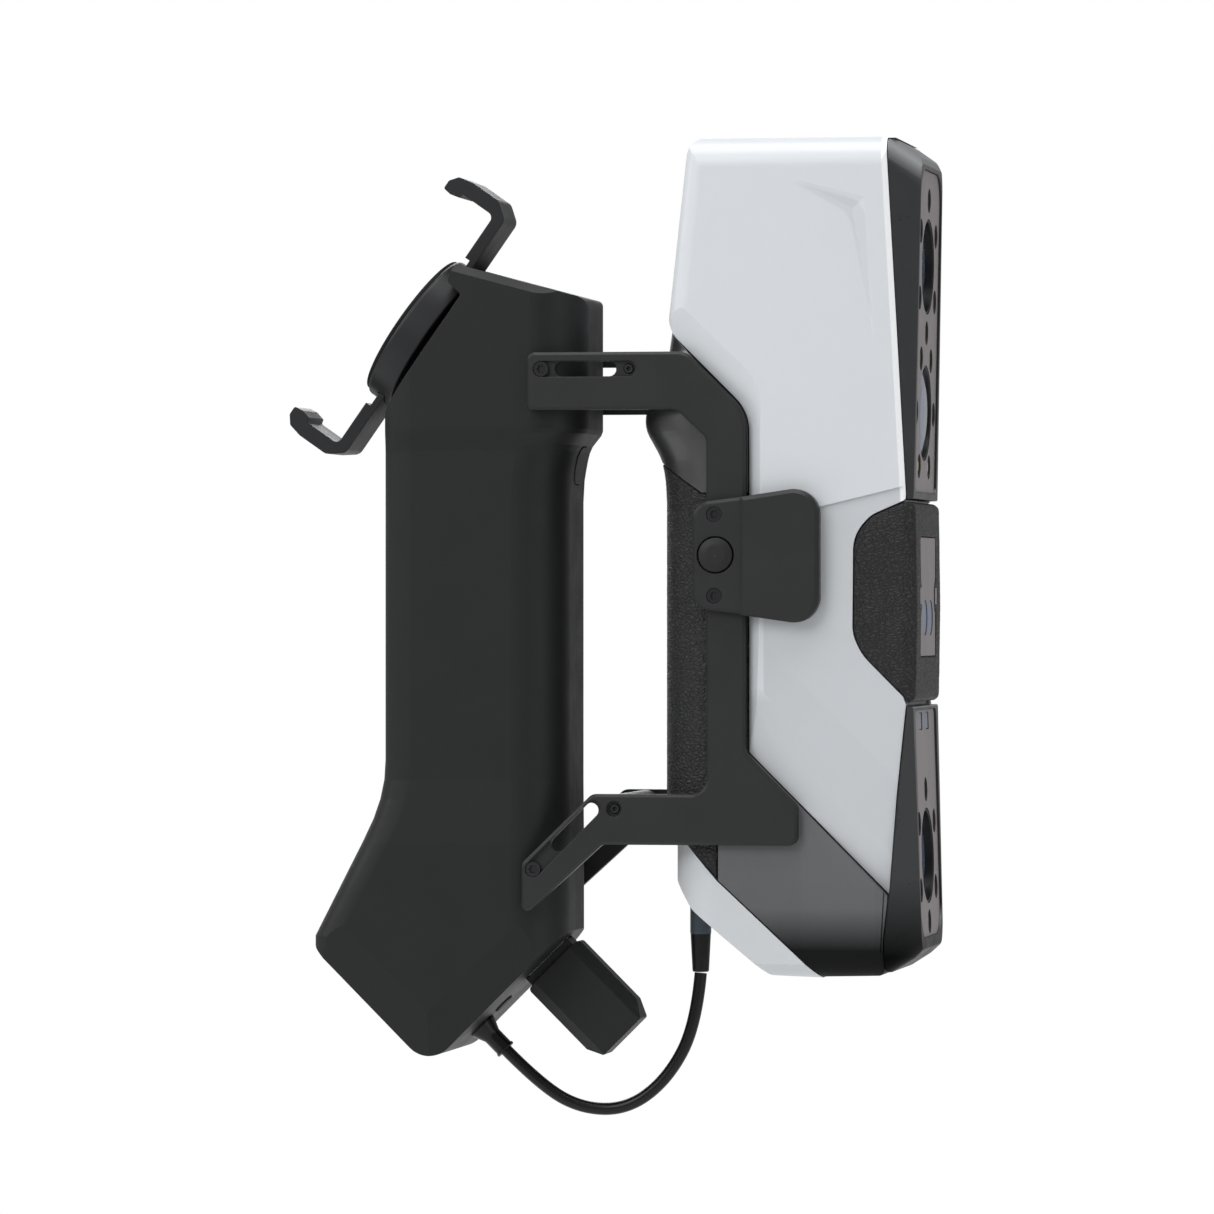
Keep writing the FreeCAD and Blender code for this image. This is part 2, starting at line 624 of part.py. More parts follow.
def spiral(start, step, halves, thick, low, tall):
    """A flat spiral strip of half rings whose centres alternate."""
    strip = None
    for k in range(halves):
        radius = start + k * step
        centre = V(0 if k % 2 == 0 else step, 0, low)
        ring = Part.makeCylinder(radius + thick, tall, centre, V(0, 0, 1), 180)
        ring = ring.cut(Part.makeCylinder(radius, tall, centre, V(0, 0, 1), 360))
        if k % 2:
            ring.rotate(centre, V(0, 0, 1), 180)
        strip = ring if strip is None else strip.fuse(ring)
    return strip.removeSplitter()


feature("jaw_spring", spiral(2.75, 0.9, 8, 0.35, 58.2, 1.0), cradle_place(0, middle_t))

# ================================================================ bracket
PLATE = [(15.4, 57.9, 1.5), (15.4, 72.5, 1.8), (55.9, 72.5, 5.0), (71.3, 57.1, 11.0), (71.3, -29.0, 5.0),
         (84.5, -42.0, 3.0), (84.5, -52.1, 2.5), (34.6, -52.1, 2.0), (13.9, -70.9, 1.5), (13.9, -56.9, 2.5),
         (32.0, -39.3, 2.5), (61.3, -39.3, 4.0), (61.3, 50.7, 3.0), (53.6, 57.9, 3.0)]
RODS = {"upper": (41.4, 68.25), "lower": (37.8, -43.0)}
SLOT_END = (32.3, -42.8)
SCREW_WAY = 1.3


def bracket_plate(label, side):
    """One C-shaped plate with recessed slots and its rod seats."""
    body = doc.addObject("PartDesign::Body", "Plate")
    start = "-plate_inner - plate_thick" if side == FAR else "plate_inner"
    add_pad(body, sketch_on(body, "XZ_Plane", rounded(PLATE), start), "plate_thick")
    outer_y = side * (size("plate_inner") + size("plate_thick"))
    dress(body, "Chamfer", 0.7, lambda p: abs(p.y - outer_y) < 0.01)
    outer_z = "plate_inner + plate_thick" if side == NEAR else "-plate_inner - plate_thick"
    seat = size("seat_radius")
    rod_high, rod_low = RODS["upper"], RODS["lower"]
    screw_high, screw_low = SLOT_SCREWS
    recesses = (slot(screw_high, rod_high, seat), slot(screw_low, SLOT_END, seat), circle(*rod_low, seat))
    for pieces in recesses:
        sketch = sketch_on(body, "XZ_Plane", pieces, outer_z)
        add_pocket(body, sketch, "plate_recess", side == FAR)
    opening = seat - size("seat_ledge")
    windows = (slot(between(screw_high, rod_high, 0.234), between(screw_high, rod_high, 0.773), opening),
               slot(between(screw_low, SLOT_END, 0.409), between(screw_low, SLOT_END, 0.96), opening),
               circle(*screw_high, SCREW_WAY), circle(*screw_low, SCREW_WAY),
               circle(*rod_high, SCREW_WAY), circle(*rod_low, SCREW_WAY))
    for pieces in windows:
        sketch = sketch_on(body, "XZ_Plane", pieces, outer_z)
        add_pocket(body, sketch, "plate_thick", side == FAR)
    return keep(body, label)


near_plate = bracket_plate("bracket_plate_left", NEAR)
far_plate = bracket_plate("bracket_plate_right", FAR)
doc.recompute()

SIDEWAYS = FreeCAD.Rotation(V(1, 0, 0), -90)


def rod_place(x, z, y=0.0):
    """Placement whose Z runs along +Y."""
    return FreeCAD.Placement(V(x, y, z), SIDEWAYS)


for name, (x, z) in RODS.items():
    inner = size("plate_inner")
    tip = size("rod_end_radius")
    half_rod = [(size("rod_radius"), inner), (tip, inner), (tip, 25.2, 0.15), (0.6, 25.2), (0.6, 24.4),
                (0, 24.4)]
    profile = [(corner[0], -corner[1], *corner[2:]) for corner in reversed(half_rod)] + half_rod
    turned("cross_rod_" + name, profile, rod_place(x, z))


def star_head(radius, tall, shank, length):
    """A screw along +Z: six-lobed socket in the head, head at the bottom."""
    head = Part.makeCylinder(radius, tall)
    lobes = None
    for k in range(6):
        turn = math.radians(60 * k)
        lobe = Part.makeCylinder(0.32, 0.6, V(0.75 * math.cos(turn), 0.75 * math.sin(turn), 0))
        lobes = lobe if lobes is None else lobes.fuse(lobe)
    lobes = lobes.fuse(Part.makeCylinder(0.8, 0.6))
    screw = head.cut(lobes).fuse(Part.makeCylinder(shank, length, V(0, 0, tall)))
    return screw.removeSplitter()


def screw_group(label, spots, head_y, length):
    """Identical side screws at (x, z) spots on both sides, as one group of solids."""
    solids = []
    screw = star_head(size("screw_head"), size("screw_head_tall"), size("screw_shank"), length)
    for x, z in spots:
        near = moved(screw, rod_place(x, z, -head_y))
        solids += [near, mirrored(near)]
    feature(label, Part.makeCompound(solids))


screw_group("slot_screws", SLOT_SCREWS, size("plate_inner") + size("plate_thick") - 0.2, 5.2)

CLIP = [(58.2, 34.2, 4.5), (72.0, 35.9, 1.0), (72.0, 6.0, 1.0), (58.2, 7.7, 4.5)]
WING = [(70.5, 35.7), (90.5, 38.7, 6.5), (90.5, 3.1, 6.5), (70.5, 6.0)]
CLIP_SCREWS = [(63.8, 31.3), (63.8, 10.8)]
CLIP_BUTTON = (64.1, 21.1)


def clip_block(label, side):
    """A clip block: low screwed base on the bracket bar and a raised wing over the cover."""
    outer_y = size("plate_inner") + size("plate_thick")
    body = doc.addObject("PartDesign::Body", "Clip")
    start = "-plate_inner - plate_thick - clip_base_tall" if side == FAR else "plate_inner + plate_thick"
    add_pad(body, sketch_on(body, "XZ_Plane", rounded(CLIP), start), "clip_base_tall")
    top_y = side * (outer_y + size("clip_base_tall"))
    dress(body, "Chamfer", 0.8, lambda p: abs(p.y - top_y) < 0.01 and p.x < 71.5)
    start = "-plate_inner - plate_thick - clip_wing_tall" if side == FAR else "plate_inner + plate_thick"
    add_pad(body, sketch_on(body, "XZ_Plane", rounded(WING), start), "clip_wing_tall")
    wing_y = side * (outer_y + size("clip_wing_tall"))
    dress(body, "Chamfer", 1.0, lambda p: abs(p.y - wing_y) < 0.01)
    outer_z = "-plate_inner - plate_thick - clip_wing_tall" if side == FAR else \
        "plate_inner + plate_thick + clip_wing_tall"
    sketch = sketch_on(body, "XZ_Plane", circle(*CLIP_BUTTON, size("clip_button_hole")), outer_z)
    add_pocket(body, sketch, "clip_wing_tall", side == FAR)
    for x, z in CLIP_SCREWS:
        sketch = sketch_on(body, "XZ_Plane", circle(x, z, size("screw_head") + 0.1), outer_z)
        add_pocket(body, sketch, "clip_wing_tall - clip_base_tall + 1.2", side == FAR)
        sketch = sketch_on(body, "XZ_Plane", circle(x, z, size("screw_shank") + 0.05), outer_z)
        add_pocket(body, sketch, "clip_wing_tall", side == FAR)
    return keep(body, label)


clip_block("clip_block_left", NEAR)
clip_block("clip_block_right", FAR)
plate_outer = size("plate_inner") + size("plate_thick")
screw_group("clip_screws", CLIP_SCREWS, plate_outer + size("clip_base_tall") - 0.2, 1.55)
button_base = plate_outer + size("clip_travel") + 0.2
button_profile = [(0, button_base), (size("clip_button_radius"), button_base),
                  (size("clip_button_radius"), button_base + 1.6, 0.5), (2.6, button_base + 2.25, 2.0),
                  (0, button_base + 2.3)]
turned("clip_button_right", button_profile, rod_place(CLIP_BUTTON[0], CLIP_BUTTON[1]))
turned("clip_button_left", button_profile,
       FreeCAD.Placement(V(CLIP_BUTTON[0], 0, CLIP_BUTTON[1]), FreeCAD.Rotation(V(1, 0, 0), 90)))

# ================================================================ scanner body
COVER = [(56.4, 127.0, 6.0), (106.5, 127.0, 1.0), (109.0, 126.1), (106.9, 126.1), (107.1, 121.3),
         (109.6, 77.5), (111.9, 36.2),
         (111.8, 34.9, 1.0), (103.0, 31.1, 8.0), (98.6, 26.1, 10.0), (98.4, 1.0, 10.0), (100.9, -4.1, 12.0),
         (111.3, -14.6, 1.0), (112.0, -16.6), (109.6, -39.7), (107.4, -64.2), (71.8, -28.6, 0.6),
         (71.8, 57.3, 11.5), (50.9, 78.2, 8.0)]
COVER_FACE = COVER[:15] + [(109.1, -47.6), (75.2, -13.7, 8.0), (75.2, 64.2, 13.6), (51.5, 87.3, 8.0)]
COVER_FACE[0] = (56.9, 127.0, 6.0)
COVER_ROOM = [(58.7, 124.6, 3.0), (140.0, 124.6), (140.0, -110.0), (74.2, -110.0), (74.2, 58.3, 9.0),
              (53.5, 79.6, 6.0), (57.8, 122.9)]
DEEP_ROOM = [(59.4, 119.0, 2.0), (140.0, 119.0), (140.0, -75.5), (77.6, -13.1), (77.6, 66.0, 11.0),
             (54.8, 88.8, 6.0)]
half, wall = size("cover_half"), size("cover_wall")
SKIRT = 3.0
RIM_HALF = 20.2


def side_wire(corners, y):
    """A side outline's wire at one Y."""
    wire = face_of(rounded(corners)).OuterWire
    wire.Placement = FreeCAD.Placement(V(0, y, 0), UPRIGHT)
    return wire


crown = Part.makeLoft([side_wire(COVER, -half + SKIRT), side_wire(COVER_FACE, -half)], True, True)
cover = side_prism(rounded(COVER), -half + SKIRT, 0).fuse(crown).removeSplitter()
roof = face_of(rounded([(-half, -120), (half, -120), (half, 127.0, 8.0), (-half, 127.0, 8.0)]))
roof.Placement = FreeCAD.Placement(V(30, 0, 0), FreeCAD.Rotation(V(1, 1, 1), 120))
cover = cover.common(roof.extrude(V(100, 0, 0)))
spine_face = face_of(rounded([(140.0, -half), (140.0, half), (50.9, half, 5.0), (50.9, -half, 5.0)]))
spine_face.translate(V(0, 0, 80.2))
back_round = spine_face.extrude(V(50 * 4.5 / 43.1, 0, 50)).fuse(box(40, 140, -30, 30, -120, 80.2))
cover = cover.common(back_round).removeSplitter()
cover = cover.cut(side_prism(rounded(COVER_ROOM), -RIM_HALF, 1.0))
cover = cover.cut(side_prism(rounded(DEEP_ROOM), -half + wall, 1.0))
step_field = [(71.0, 33.0), (90.3, 33.2, 2.0), (109.3, 37.8, 2.0), (120.0, 40.5), (120.0, -80.0),
              (60.0, -80.0), (60.0, 33.0)]
cover = cover.cut(side_prism(rounded(step_field), -half - 1, -half + 0.5))
slope = math.radians(2.5)
lean = -DROP * math.sin(slope)
low_field = beyond(V(37.6, -half + 0.5, 37.6), V(lean, -math.cos(slope), lean), 400.0)
cover = cover.cut(low_field.common(box(60, 125, -40, -20, -90, 20)))
panel = [(V(85.0, -half, 114.0), V(0.050, 0, 0.0235)), (V(82.9, -half, 115.8), V(-0.037, 0, -0.146)),
         (V(101.8, -half, 108.7), V(-0.150, 0, -0.010))]
dent = box(70, 120, -40, 0, 40, 124)
for point, steepness in panel:
    dent = dent.common(beyond(point, V(0, -1, 0) + steepness, 400.0))
cover = cover.cut(dent)
strip = [V(105.7, -half, 121.3), V(110.5, -half, 36.2), V(107.1, -half + 0.9, 121.3)]
strip_normal = (strip[1] - strip[0]).cross(strip[2] - strip[0])
if strip_normal.x < 0:
    strip_normal = strip_normal * -1
cover = cover.cut(beyond(strip[0], strip_normal, 400.0).common(box(100, 130, -40, 0, 33, 124)))
feature("side_cover_left", cover)
feature("side_cover_right", mirrored(cover))


def grip_column(front, rear, half, radius, low, high):
    """An upright block with rounded rear corners."""
    corners = [(front, -half), (front, half), (rear, half, radius), (rear, -half, radius)]
    column = face_of(rounded(corners)).extrude(V(0, 0, high - low))
    column.translate(V(0, 0, low))
    return column


# leather grip and the frame inside it
grip_half, grip_wall = size("grip_half"), size("grip_wall")
HORN = [(34.0, 48.9), (37.5, 48.75), (41.0, 48.45), (44.6, 47.7), (47.0, 46.7), (49.7, 45.2), (52.3, 43.85),
        (54.8, 43.35), (57.3, 43.6), (60.0, 44.5), (66.0, 46.85)]
HORN_STEP = 1.25


def horn_rear(z):
    """How far back the rear surface stands at a height, by a smooth curve through the HORN points."""
    for k in range(1, len(HORN) - 2):
        if HORN[k][0] <= z <= HORN[k + 1][0]:
            break
    (z0, x0), (z1, x1), (z2, x2), (z3, x3) = HORN[k - 1:k + 3]
    share = max(0.0, (z - z1) / (z2 - z1))
    start, end = (x2 - x0) / (z2 - z0) * (z2 - z1), (x3 - x1) / (z3 - z1) * (z2 - z1)
    a, b = share * share * (3 - 2 * share), share * (1 - share) * (1 - share)
    return x1 + (x2 - x1) * a + start * b - end * share * share * (1 - share)


def horn_mass(inset):
    """The rear grip and thumb rest as one upright mass, its walls moved in by the inset."""
    levels = [HORN[1][0] + HORN_STEP * k for k in range(19)]
    profile = [(-80.0, 48.9), (34.0, 48.9)] + [(z, horn_rear(z)) for z in levels]
    profile += [(66.0, 46.85), (72.9, 49.5), (86.0, 51.4)]
    sections = []
    for z, rear in profile:
        corners = [(90, -grip_half + inset), (90, grip_half - inset),
                   (rear + inset, grip_half - inset, 13.0 - inset),
                   (rear + inset, -grip_half + inset, 13.0 - inset)]
        wire = face_of(rounded(corners)).OuterWire
        wire.translate(V(0, 0, z))
        sections.append(wire)
    return Part.makeLoft(sections, True, True)


horn, horn_room = horn_mass(0.0), horn_mass(grip_wall)
GRIP = [(40.0, 49.9), (59.6, 36.7), (71.5, 36.7), (71.5, -28.9), (63.6, -28.9), (63.6, -60.6),
        (55.7, -51.8), (51.5, -51.8, 2.0), (49.2, -49.0, 1.0), (48.7, -38.0), (40.0, 30.0)]
grip = side_prism(rounded(GRIP), -grip_half, grip_half).common(horn).cut(horn_room)
feature("rear_grip", grip)
frame_half = grip_half - grip_wall - 0.1
frame_rear = 49.0 + grip_wall
frame = grip_column(71.4, frame_rear, frame_half, 10.2, -47, 34)
frame = frame.cut(grip_column(69.4, frame_rear + 2, frame_half - 2, 8.2, -50, 40))
frame = frame.cut(box(63.4, 80, -30, 30, -60, -28.6))
feature("grip_frame", frame)

# rear housing with thumb rest and keys
REAR = [(50.6, 77.8, 0.5), (40.0, 77.8), (40.0, 50.1), (59.7, 36.9), (71.5, 36.9), (71.5, 57.0, 11.0)]
rear = side_prism(rounded(REAR), -grip_half, grip_half).common(horn)
inner_face = face_of(rounded(REAR)).makeOffset2D(-size("lower_wall"))
inner_face.Placement = FreeCAD.Placement(V(0, -grip_half, 0), UPRIGHT)
rear_room = inner_face.extrude(V(0, 2 * grip_half, 0))
rear = rear.cut(rear_room.common(horn_room))
rear = rear.cut(box(54, 69, -18, 18, 30, 50))
KEY_TILT = -68.8
key_turn = FreeCAD.Rotation(V(0, 1, 0), KEY_TILT)
KEYS = {"scan_button": (0.0, 4.6), "key_left": (-9.4, 2.5), "key_right": (9.4, 2.5)}
for name, (y, radius) in KEYS.items():
    place = FreeCAD.Placement(V(46.7, y, 65.4), key_turn)
    rear = rear.cut(moved(Part.makeCylinder(radius + 0.2, 12, V(0, 0, -6)), place))
    profile = [(0, -4.2), (radius + 1.0, -4.2), (radius + 1.0, -3.3), (radius, -3.3), (radius, 0.9, 0.5),
               (0, 0.9)]
    turned(name, profile, place)
feature("rear_housing", rear)

# lower housing halves and the pale trim under them
lower_half = size("lower_half")
LOWER = [(63.9, -29.2), (71.9, -29.2), (106.2, -63.5), (107.3, -66.0), (106.2, -75.3), (106.2, -84.9, 2.0),
         (90.2, -85.3, 1.5), (63.9, -61.0)]
FLARED = [(84.9, -42.2), (107.3, -64.6), (107.3, -66.0), (106.2, -75.3), (106.2, -84.9, 2.0),
          (90.2, -85.3, 1.5), (84.9, -80.5)]
LOWER_ROOM = [(66.3, -20.0), (140.0, -20.0), (140.0, -82.8), (91.0, -82.8, 1.0), (66.3, -59.9)]
lower = side_prism(rounded(LOWER), -lower_half, 0)
flare = side_prism(rounded(FLARED), -size("pad_half"), 0)
flare = flare.cut(beyond(V(85, -lower_half, 0), V(-0.119, -0.993, 0), 400.0))
lower = lower.fuse(flare).cut(side_prism(rounded(LOWER_ROOM), -lower_half + size("lower_wall"), 1.0))
belly = face_of(rounded([(-25.3, -85.7, 10.0), (25.3, -85.7, 10.0), (25.3, 100), (-25.3, 100)]))
belly.Placement = FreeCAD.Placement(V(30, 0, 0), FreeCAD.Rotation(V(1, 1, 1), 120))
belly = belly.extrude(V(100, 0, 0))
seam = [(106.35, -62.0), (106.65, -62.0), (105.3, -87.0), (105.0, -87.0)]
lower = lower.common(belly).cut(side_prism(rounded(seam), -30, -size("pad_half") + 0.5)).removeSplitter()
feature("lower_housing_left", lower)
feature("lower_housing_right", mirrored(lower))
TRIM = [(51.9, -52.1), (52.0, -61.0, 3.0), (56.9, -68.5, 3.0), (76.8, -85.0, 3.0), (89.9, -85.6),
        (63.6, -61.2), (55.7, -52.1)]
trim = side_prism(rounded(TRIM), -lower_half, lower_half)
trim = trim.common(grip_column(120, 51.9, lower_half, 11.0, -90, -50)).common(belly)
trim = trim.cut(Part.makeCylinder(size("tail_wide") + 0.1, 40, V(55.8, 0, -90)))
feature("lower_trim", trim)

# camera housing
UPPER_NOSE = [(107.1, 125.9, 0.5), (109.6, 125.4, 1.0), (114.6, 121.9, 2.0), (115.45, 119.6, 1.5),
              (113.75, 35.2, 0.5), (112.1, 35.2), (112.1, 36.2), (109.8, 77.5), (107.3, 121.3)]
LOWER_NOSE = [(113.75, -17.0, 0.5), (115.4, -72.0, 1.5), (115.5, -78.3, 1.5), (112.9, -80.8, 2.0),
              (106.5, -84.8, 1.0), (106.5, -75.3), (107.8, -63.3), (108.2, -60.5), (109.9, -39.7),
              (112.3, -17.0)]
CHANNEL = [(100.5, 124.4), (110.0, 124.4), (113.0, 120.0), (112.4, 36.0), (111.3, 35.0), (111.3, -16.8),
           (112.6, -18.0), (112.6, -79.0), (106.7, -79.0), (108.2, -60.5), (109.9, -39.7), (110.2, -36.0),
           (100.5, -27.0)]
NOSE_ROOM = [(90.0, 122.0), (108.0, 122.0), (110.5, 119.0), (109.2, 40.0), (108.6, 33.0), (108.6, -15.0),
             (109.5, -20.0), (110.8, -76.5), (90.0, -76.5)]
PAD_SIDE = [(112.2, 34.6, 1.0), (103.2, 30.8, 8.0), (98.9, 26.0, 10.0), (98.7, 1.1, 10.0),
            (101.1, -3.9, 12.0), (111.3, -14.2, 1.0), (112.2, -16.3, 0.6), (114.2, -15.2, 1.5), (114.6, 8.5),
            (114.2, 33.6, 1.5)]
inner_half = size("cover_half") - size("cover_wall") - 0.2
nose = side_prism(rounded(UPPER_NOSE), -half, half).fuse(side_prism(rounded(LOWER_NOSE), -half, half))
middle_bar = side_prism(rounded(CHANNEL), -inner_half, inner_half)
nose = nose.fuse(middle_bar)
for side in (NEAR, FAR):
    corner_y = (-30, -RIM_HALF + 0.2) if side == NEAR else (RIM_HALF - 0.2, 30)
    nose = nose.cut(box(90, 106.9, corner_y[0], corner_y[1], 118.8, 130))
EDGES = [(V(107.3, half - 0.9, 121.3), V(111.9, half - 0.9, 36.2), V(8.1, -3.3, 0), V(0.57, 0, 0.82),
          V(112.1, 0, 123.65)),
         (V(112.3, half, -17.0), V(107.2, half, -72.0), V(8.1, -3.9, 0), V(0.53, 0, -0.85),
          V(109.7, 0, -82.8))]
for start, end, inward, end_normal, end_point in EDGES:
    along = (end - start).normalize()
    normal = inward.cross(along).normalize()
    if normal.y < 0:
        normal = normal * -1
    zone = box(90, 130, 10, 40, 20, 140) if start.z > 0 else box(90, 130, 10, 40, -100, 20)
    wedge = beyond(start, normal, 400.0).common(zone)
    nose = nose.cut(wedge).cut(mirrored(wedge))
    end_normal = V(end_normal).normalize()
    across = (end_normal - normal * normal.dot(end_normal)).normalize()
    lift = (end_point - start).dot(end_normal) / across.dot(end_normal)
    zone = box(100, 130, 0, 40, 90, 140) if start.z > 0 else box(100, 130, 0, 40, -100, -55)
    rounder = edge_rounder(start + across * lift, normal, end_normal, 8.0).common(zone)
    nose = nose.cut(rounder).cut(mirrored(rounder))
room_half = size("bezel_cavity_half")
nose = nose.cut(side_prism(rounded(NOSE_ROOM), -room_half, room_half))
pad_half = size("pad_half")
nose = nose.cut(box(90, 111.3, -40, -pad_half + size("pad_wall") + 0.1, -16.4, 34.8))
nose = nose.cut(box(90, 111.3, pad_half - size("pad_wall") - 0.1, 40, -16.4, 34.8))

UPPER_AT = (114.61, 78.0)
LOWER_AT = (114.92, -56.0)
ACROSS = V(0, 1, 0)
upper_turn = FreeCAD.Rotation(ACROSS, 90 + size("upper_toe"))
lower_turn = FreeCAD.Rotation(ACROSS, 90 - size("lower_toe"))
upper_face = FreeCAD.Placement(V(UPPER_AT[0], 0, UPPER_AT[1]), upper_turn)
lower_face = FreeCAD.Placement(V(LOWER_AT[0], 0, LOWER_AT[1]), lower_turn)
middle_face = FreeCAD.Placement(V(114.5, 0, 10.5), FreeCAD.Rotation(ACROSS, 90))
RING = [90, 30, -30, -90, -150, 150]
COLOUR_RING = [0, 180, 55, -55, 125, -125]


def ring_spots(camera_z, face_z, circle_radius, angles):
    """Lamp centres around a camera in face coordinates (X down, Y across)."""
    drop = face_z - camera_z
    return [(drop - circle_radius * math.sin(math.radians(a)), circle_radius * math.cos(math.radians(a)))
            for a in angles]


SIDE_SPOTS = ring_spots(size("side_camera_z"), UPPER_AT[1], size("led_circle"), RING)
COLOUR_SPOTS = ring_spots(size("colour_camera_z"), UPPER_AT[1], size("colour_led_circle"), COLOUR_RING)
LOWER_SPOTS = ring_spots(size("lower_camera_z"), LOWER_AT[1], size("led_circle"), RING)
LENS_SINK = {"upper": 2.5, "middle": 1.1, "lower": 2.5}
CAMERAS = [("upper", upper_face, UPPER_AT[1] - size("side_camera_z")),
           ("middle", upper_face, UPPER_AT[1] - size("colour_camera_z")),
           ("lower", lower_face, LOWER_AT[1] - size("lower_camera_z"))]
face_half, recess = size("face_half"), size("face_inset") + size("face_depth")
PATTERN_DROP = LOWER_AT[1] - size("pattern_z")


def plate_outline(low, high, low_round, high_round, grow=0.0):
    """A face plate's outline in face coordinates."""
    h = face_half + grow
    return [(low - grow, -h, low_round), (low - grow, h, low_round), (high + grow, h, high_round),
            (high + grow, -h, high_round)]


PLATES = [("upper", upper_face, (-40.6, 41.0, 8.5, 2.0), SIDE_SPOTS + COLOUR_SPOTS, (-16.5, 20.7)),
          ("lower", lower_face, (-38.0, 19.6, 2.0, 8.5), LOWER_SPOTS, (-0.9,))]
for name, place, (low, high, low_round, high_round), spots, cameras in PLATES:
    pocket = face_of(rounded(plate_outline(low, high, low_round, high_round, 0.1))).extrude(V(0, 0, 10))
    pocket.translate(V(0, 0, -recess))
    nose = nose.cut(moved(pocket, place))
    for x, y in spots:
        nose = nose.cut(moved(Part.makeCylinder(size("led_hole"), 14, V(x, y, -12)), place))
for name, place, drop in CAMERAS:
    nose = nose.cut(moved(Part.makeCylinder(size("camera_window"), 14, V(drop, 0, -12)), place))
for side in (-1, 1):
    y = side * size("laser_spacing")
    nose = nose.cut(Part.makeCylinder(size("laser_window") + 0.1, 20, V(100, y, size("laser_z")), V(1, 0, 0)))
    window = box(-size("pattern_tall") / 2, size("pattern_tall") / 2, -size("pattern_wide") / 2,
                 size("pattern_wide") / 2, -12, 12)
    window.translate(V(PATTERN_DROP, side * size("pattern_spacing"), 0))
    nose = nose.cut(moved(window, lower_face))
nose = nose.removeSplitter()
feature("front_housing", nose)

# face plates
for name, place, (low, high, low_round, high_round), spots, cameras in PLATES:
    body = doc.addObject("PartDesign::Body", "FacePlate")
    pieces = rounded(plate_outline(low, high, low_round, high_round))
    for x, y in spots:
        pieces += circle(x, y, size("led_hole"))
    for drop in cameras:
        pieces += circle(drop, 0, size("camera_window"))
    if name == "lower":
        for side in (-1, 1):
            y = side * size("pattern_spacing")
            w, t = size("pattern_wide") / 2, size("pattern_tall") / 2
            pieces += rounded([(PATTERN_DROP - t, y - w, 0.5), (PATTERN_DROP - t, y + w, 0.5),
                               (PATTERN_DROP + t, y + w, 0.5), (PATTERN_DROP + t, y - w, 0.5)])
    sketch = sketch_on(body, "XY_Plane", pieces, "-face_inset - face_depth")
    add_pad(body, sketch, "face_depth")
    body.Placement = place
    keep(body, "face_plate_" + name)

# leather pad across the middle, with its own window plate
pad = side_prism(rounded(PAD_SIDE), -pad_half, pad_half)
corner = grip_column(80, -116, pad_half, 6.0, -30, 50)
corner.rotate(V(0, 0, 0), V(0, 0, 1), 180)
pad = pad.common(corner)
pad = pad.cut(box(90, 111.4, -pad_half + size("pad_wall"), pad_half - size("pad_wall"), -30, 50))
WAIST = [(-15.3, -14.7, 1.0), (-15.3, 14.7, 1.0), (-4.8, 14.7, 2.0), (-2.6, 12.4, 1.5), (2.0, 12.4, 1.5),
         (4.6, 14.7, 2.0), (15.1, 14.7, 1.0), (15.1, -14.7, 1.0), (4.6, -14.7, 2.0), (2.0, -12.4, 1.5),
         (-2.6, -12.4, 1.5), (-4.8, -14.7, 2.0)]
TAB = [(-2.4, 13.0, 0.4), (1.8, 13.0, 0.4), (1.8, 16.4, 0.4), (-2.4, 16.4, 0.4)]
seat = face_of(rounded(WAIST)).extrude(V(0, 0, 8))
seat.translate(V(0, 0, -1.4))
pad = pad.cut(moved(seat, middle_face))
tab_face = face_of(rounded(TAB))
tab_seat = tab_face.extrude(V(0, 0, 8))
tab_seat.translate(V(0, 0, -1.0))
pad = pad.cut(moved(tab_seat, middle_face)).cut(moved(mirrored(tab_seat), middle_face))
tab = tab_face.extrude(V(0, 0, 1.0))
tab.translate(V(0, 0, -0.98))
feature("window_tabs", Part.makeCompound([tab, mirrored(tab)]), middle_face)
for side in (-1, 1):
    y = side * size("laser_spacing")
    pad = pad.cut(Part.makeCylinder(size("laser_window") + 0.1, 20, V(100, y, size("laser_z")), V(1, 0, 0)))
feature("front_grip_pad", pad.removeSplitter())
body = doc.addObject("PartDesign::Body", "WindowPlate")
pieces = rounded([(x * 0.985, y * 0.985, r) for x, y, r in WAIST])
for side in (-1, 1):
    pieces += circle(middle_face.Base.z - size("laser_z"), side * size("laser_spacing"), size("laser_window"))
add_pad(body, sketch_on(body, "XY_Plane", pieces, "-face_depth - 0.2"), "face_depth")
body.Placement = middle_face
keep(body, "face_plate_middle")

# cameras
for name, place, drop in CAMERAS:
    at = place.multiply(FreeCAD.Placement(V(drop, 0, 0), FreeCAD.Rotation()))
    barrel, bore, long = size("barrel_radius"), size("barrel_bore"), size("barrel_length")
    profile = [(bore, -0.8), (barrel, -0.8, 0.2), (barrel, -long), (4.0, -long), (4.0, -long + 4),
               (8.0, -6.0), (bore, -6.0)]
    turned("camera_barrel_" + name, profile, at)
    lens, dome = size("lens_radius"), size("lens_dome")
    edge = -size("face_inset") - LENS_SINK[name]
    profile = [(0, -5.9), (lens, -5.9), (lens, edge), (7.0, edge + 0.8 * dome, 6.0), (0, edge + dome)]
    turned("camera_lens_" + name, profile, at)

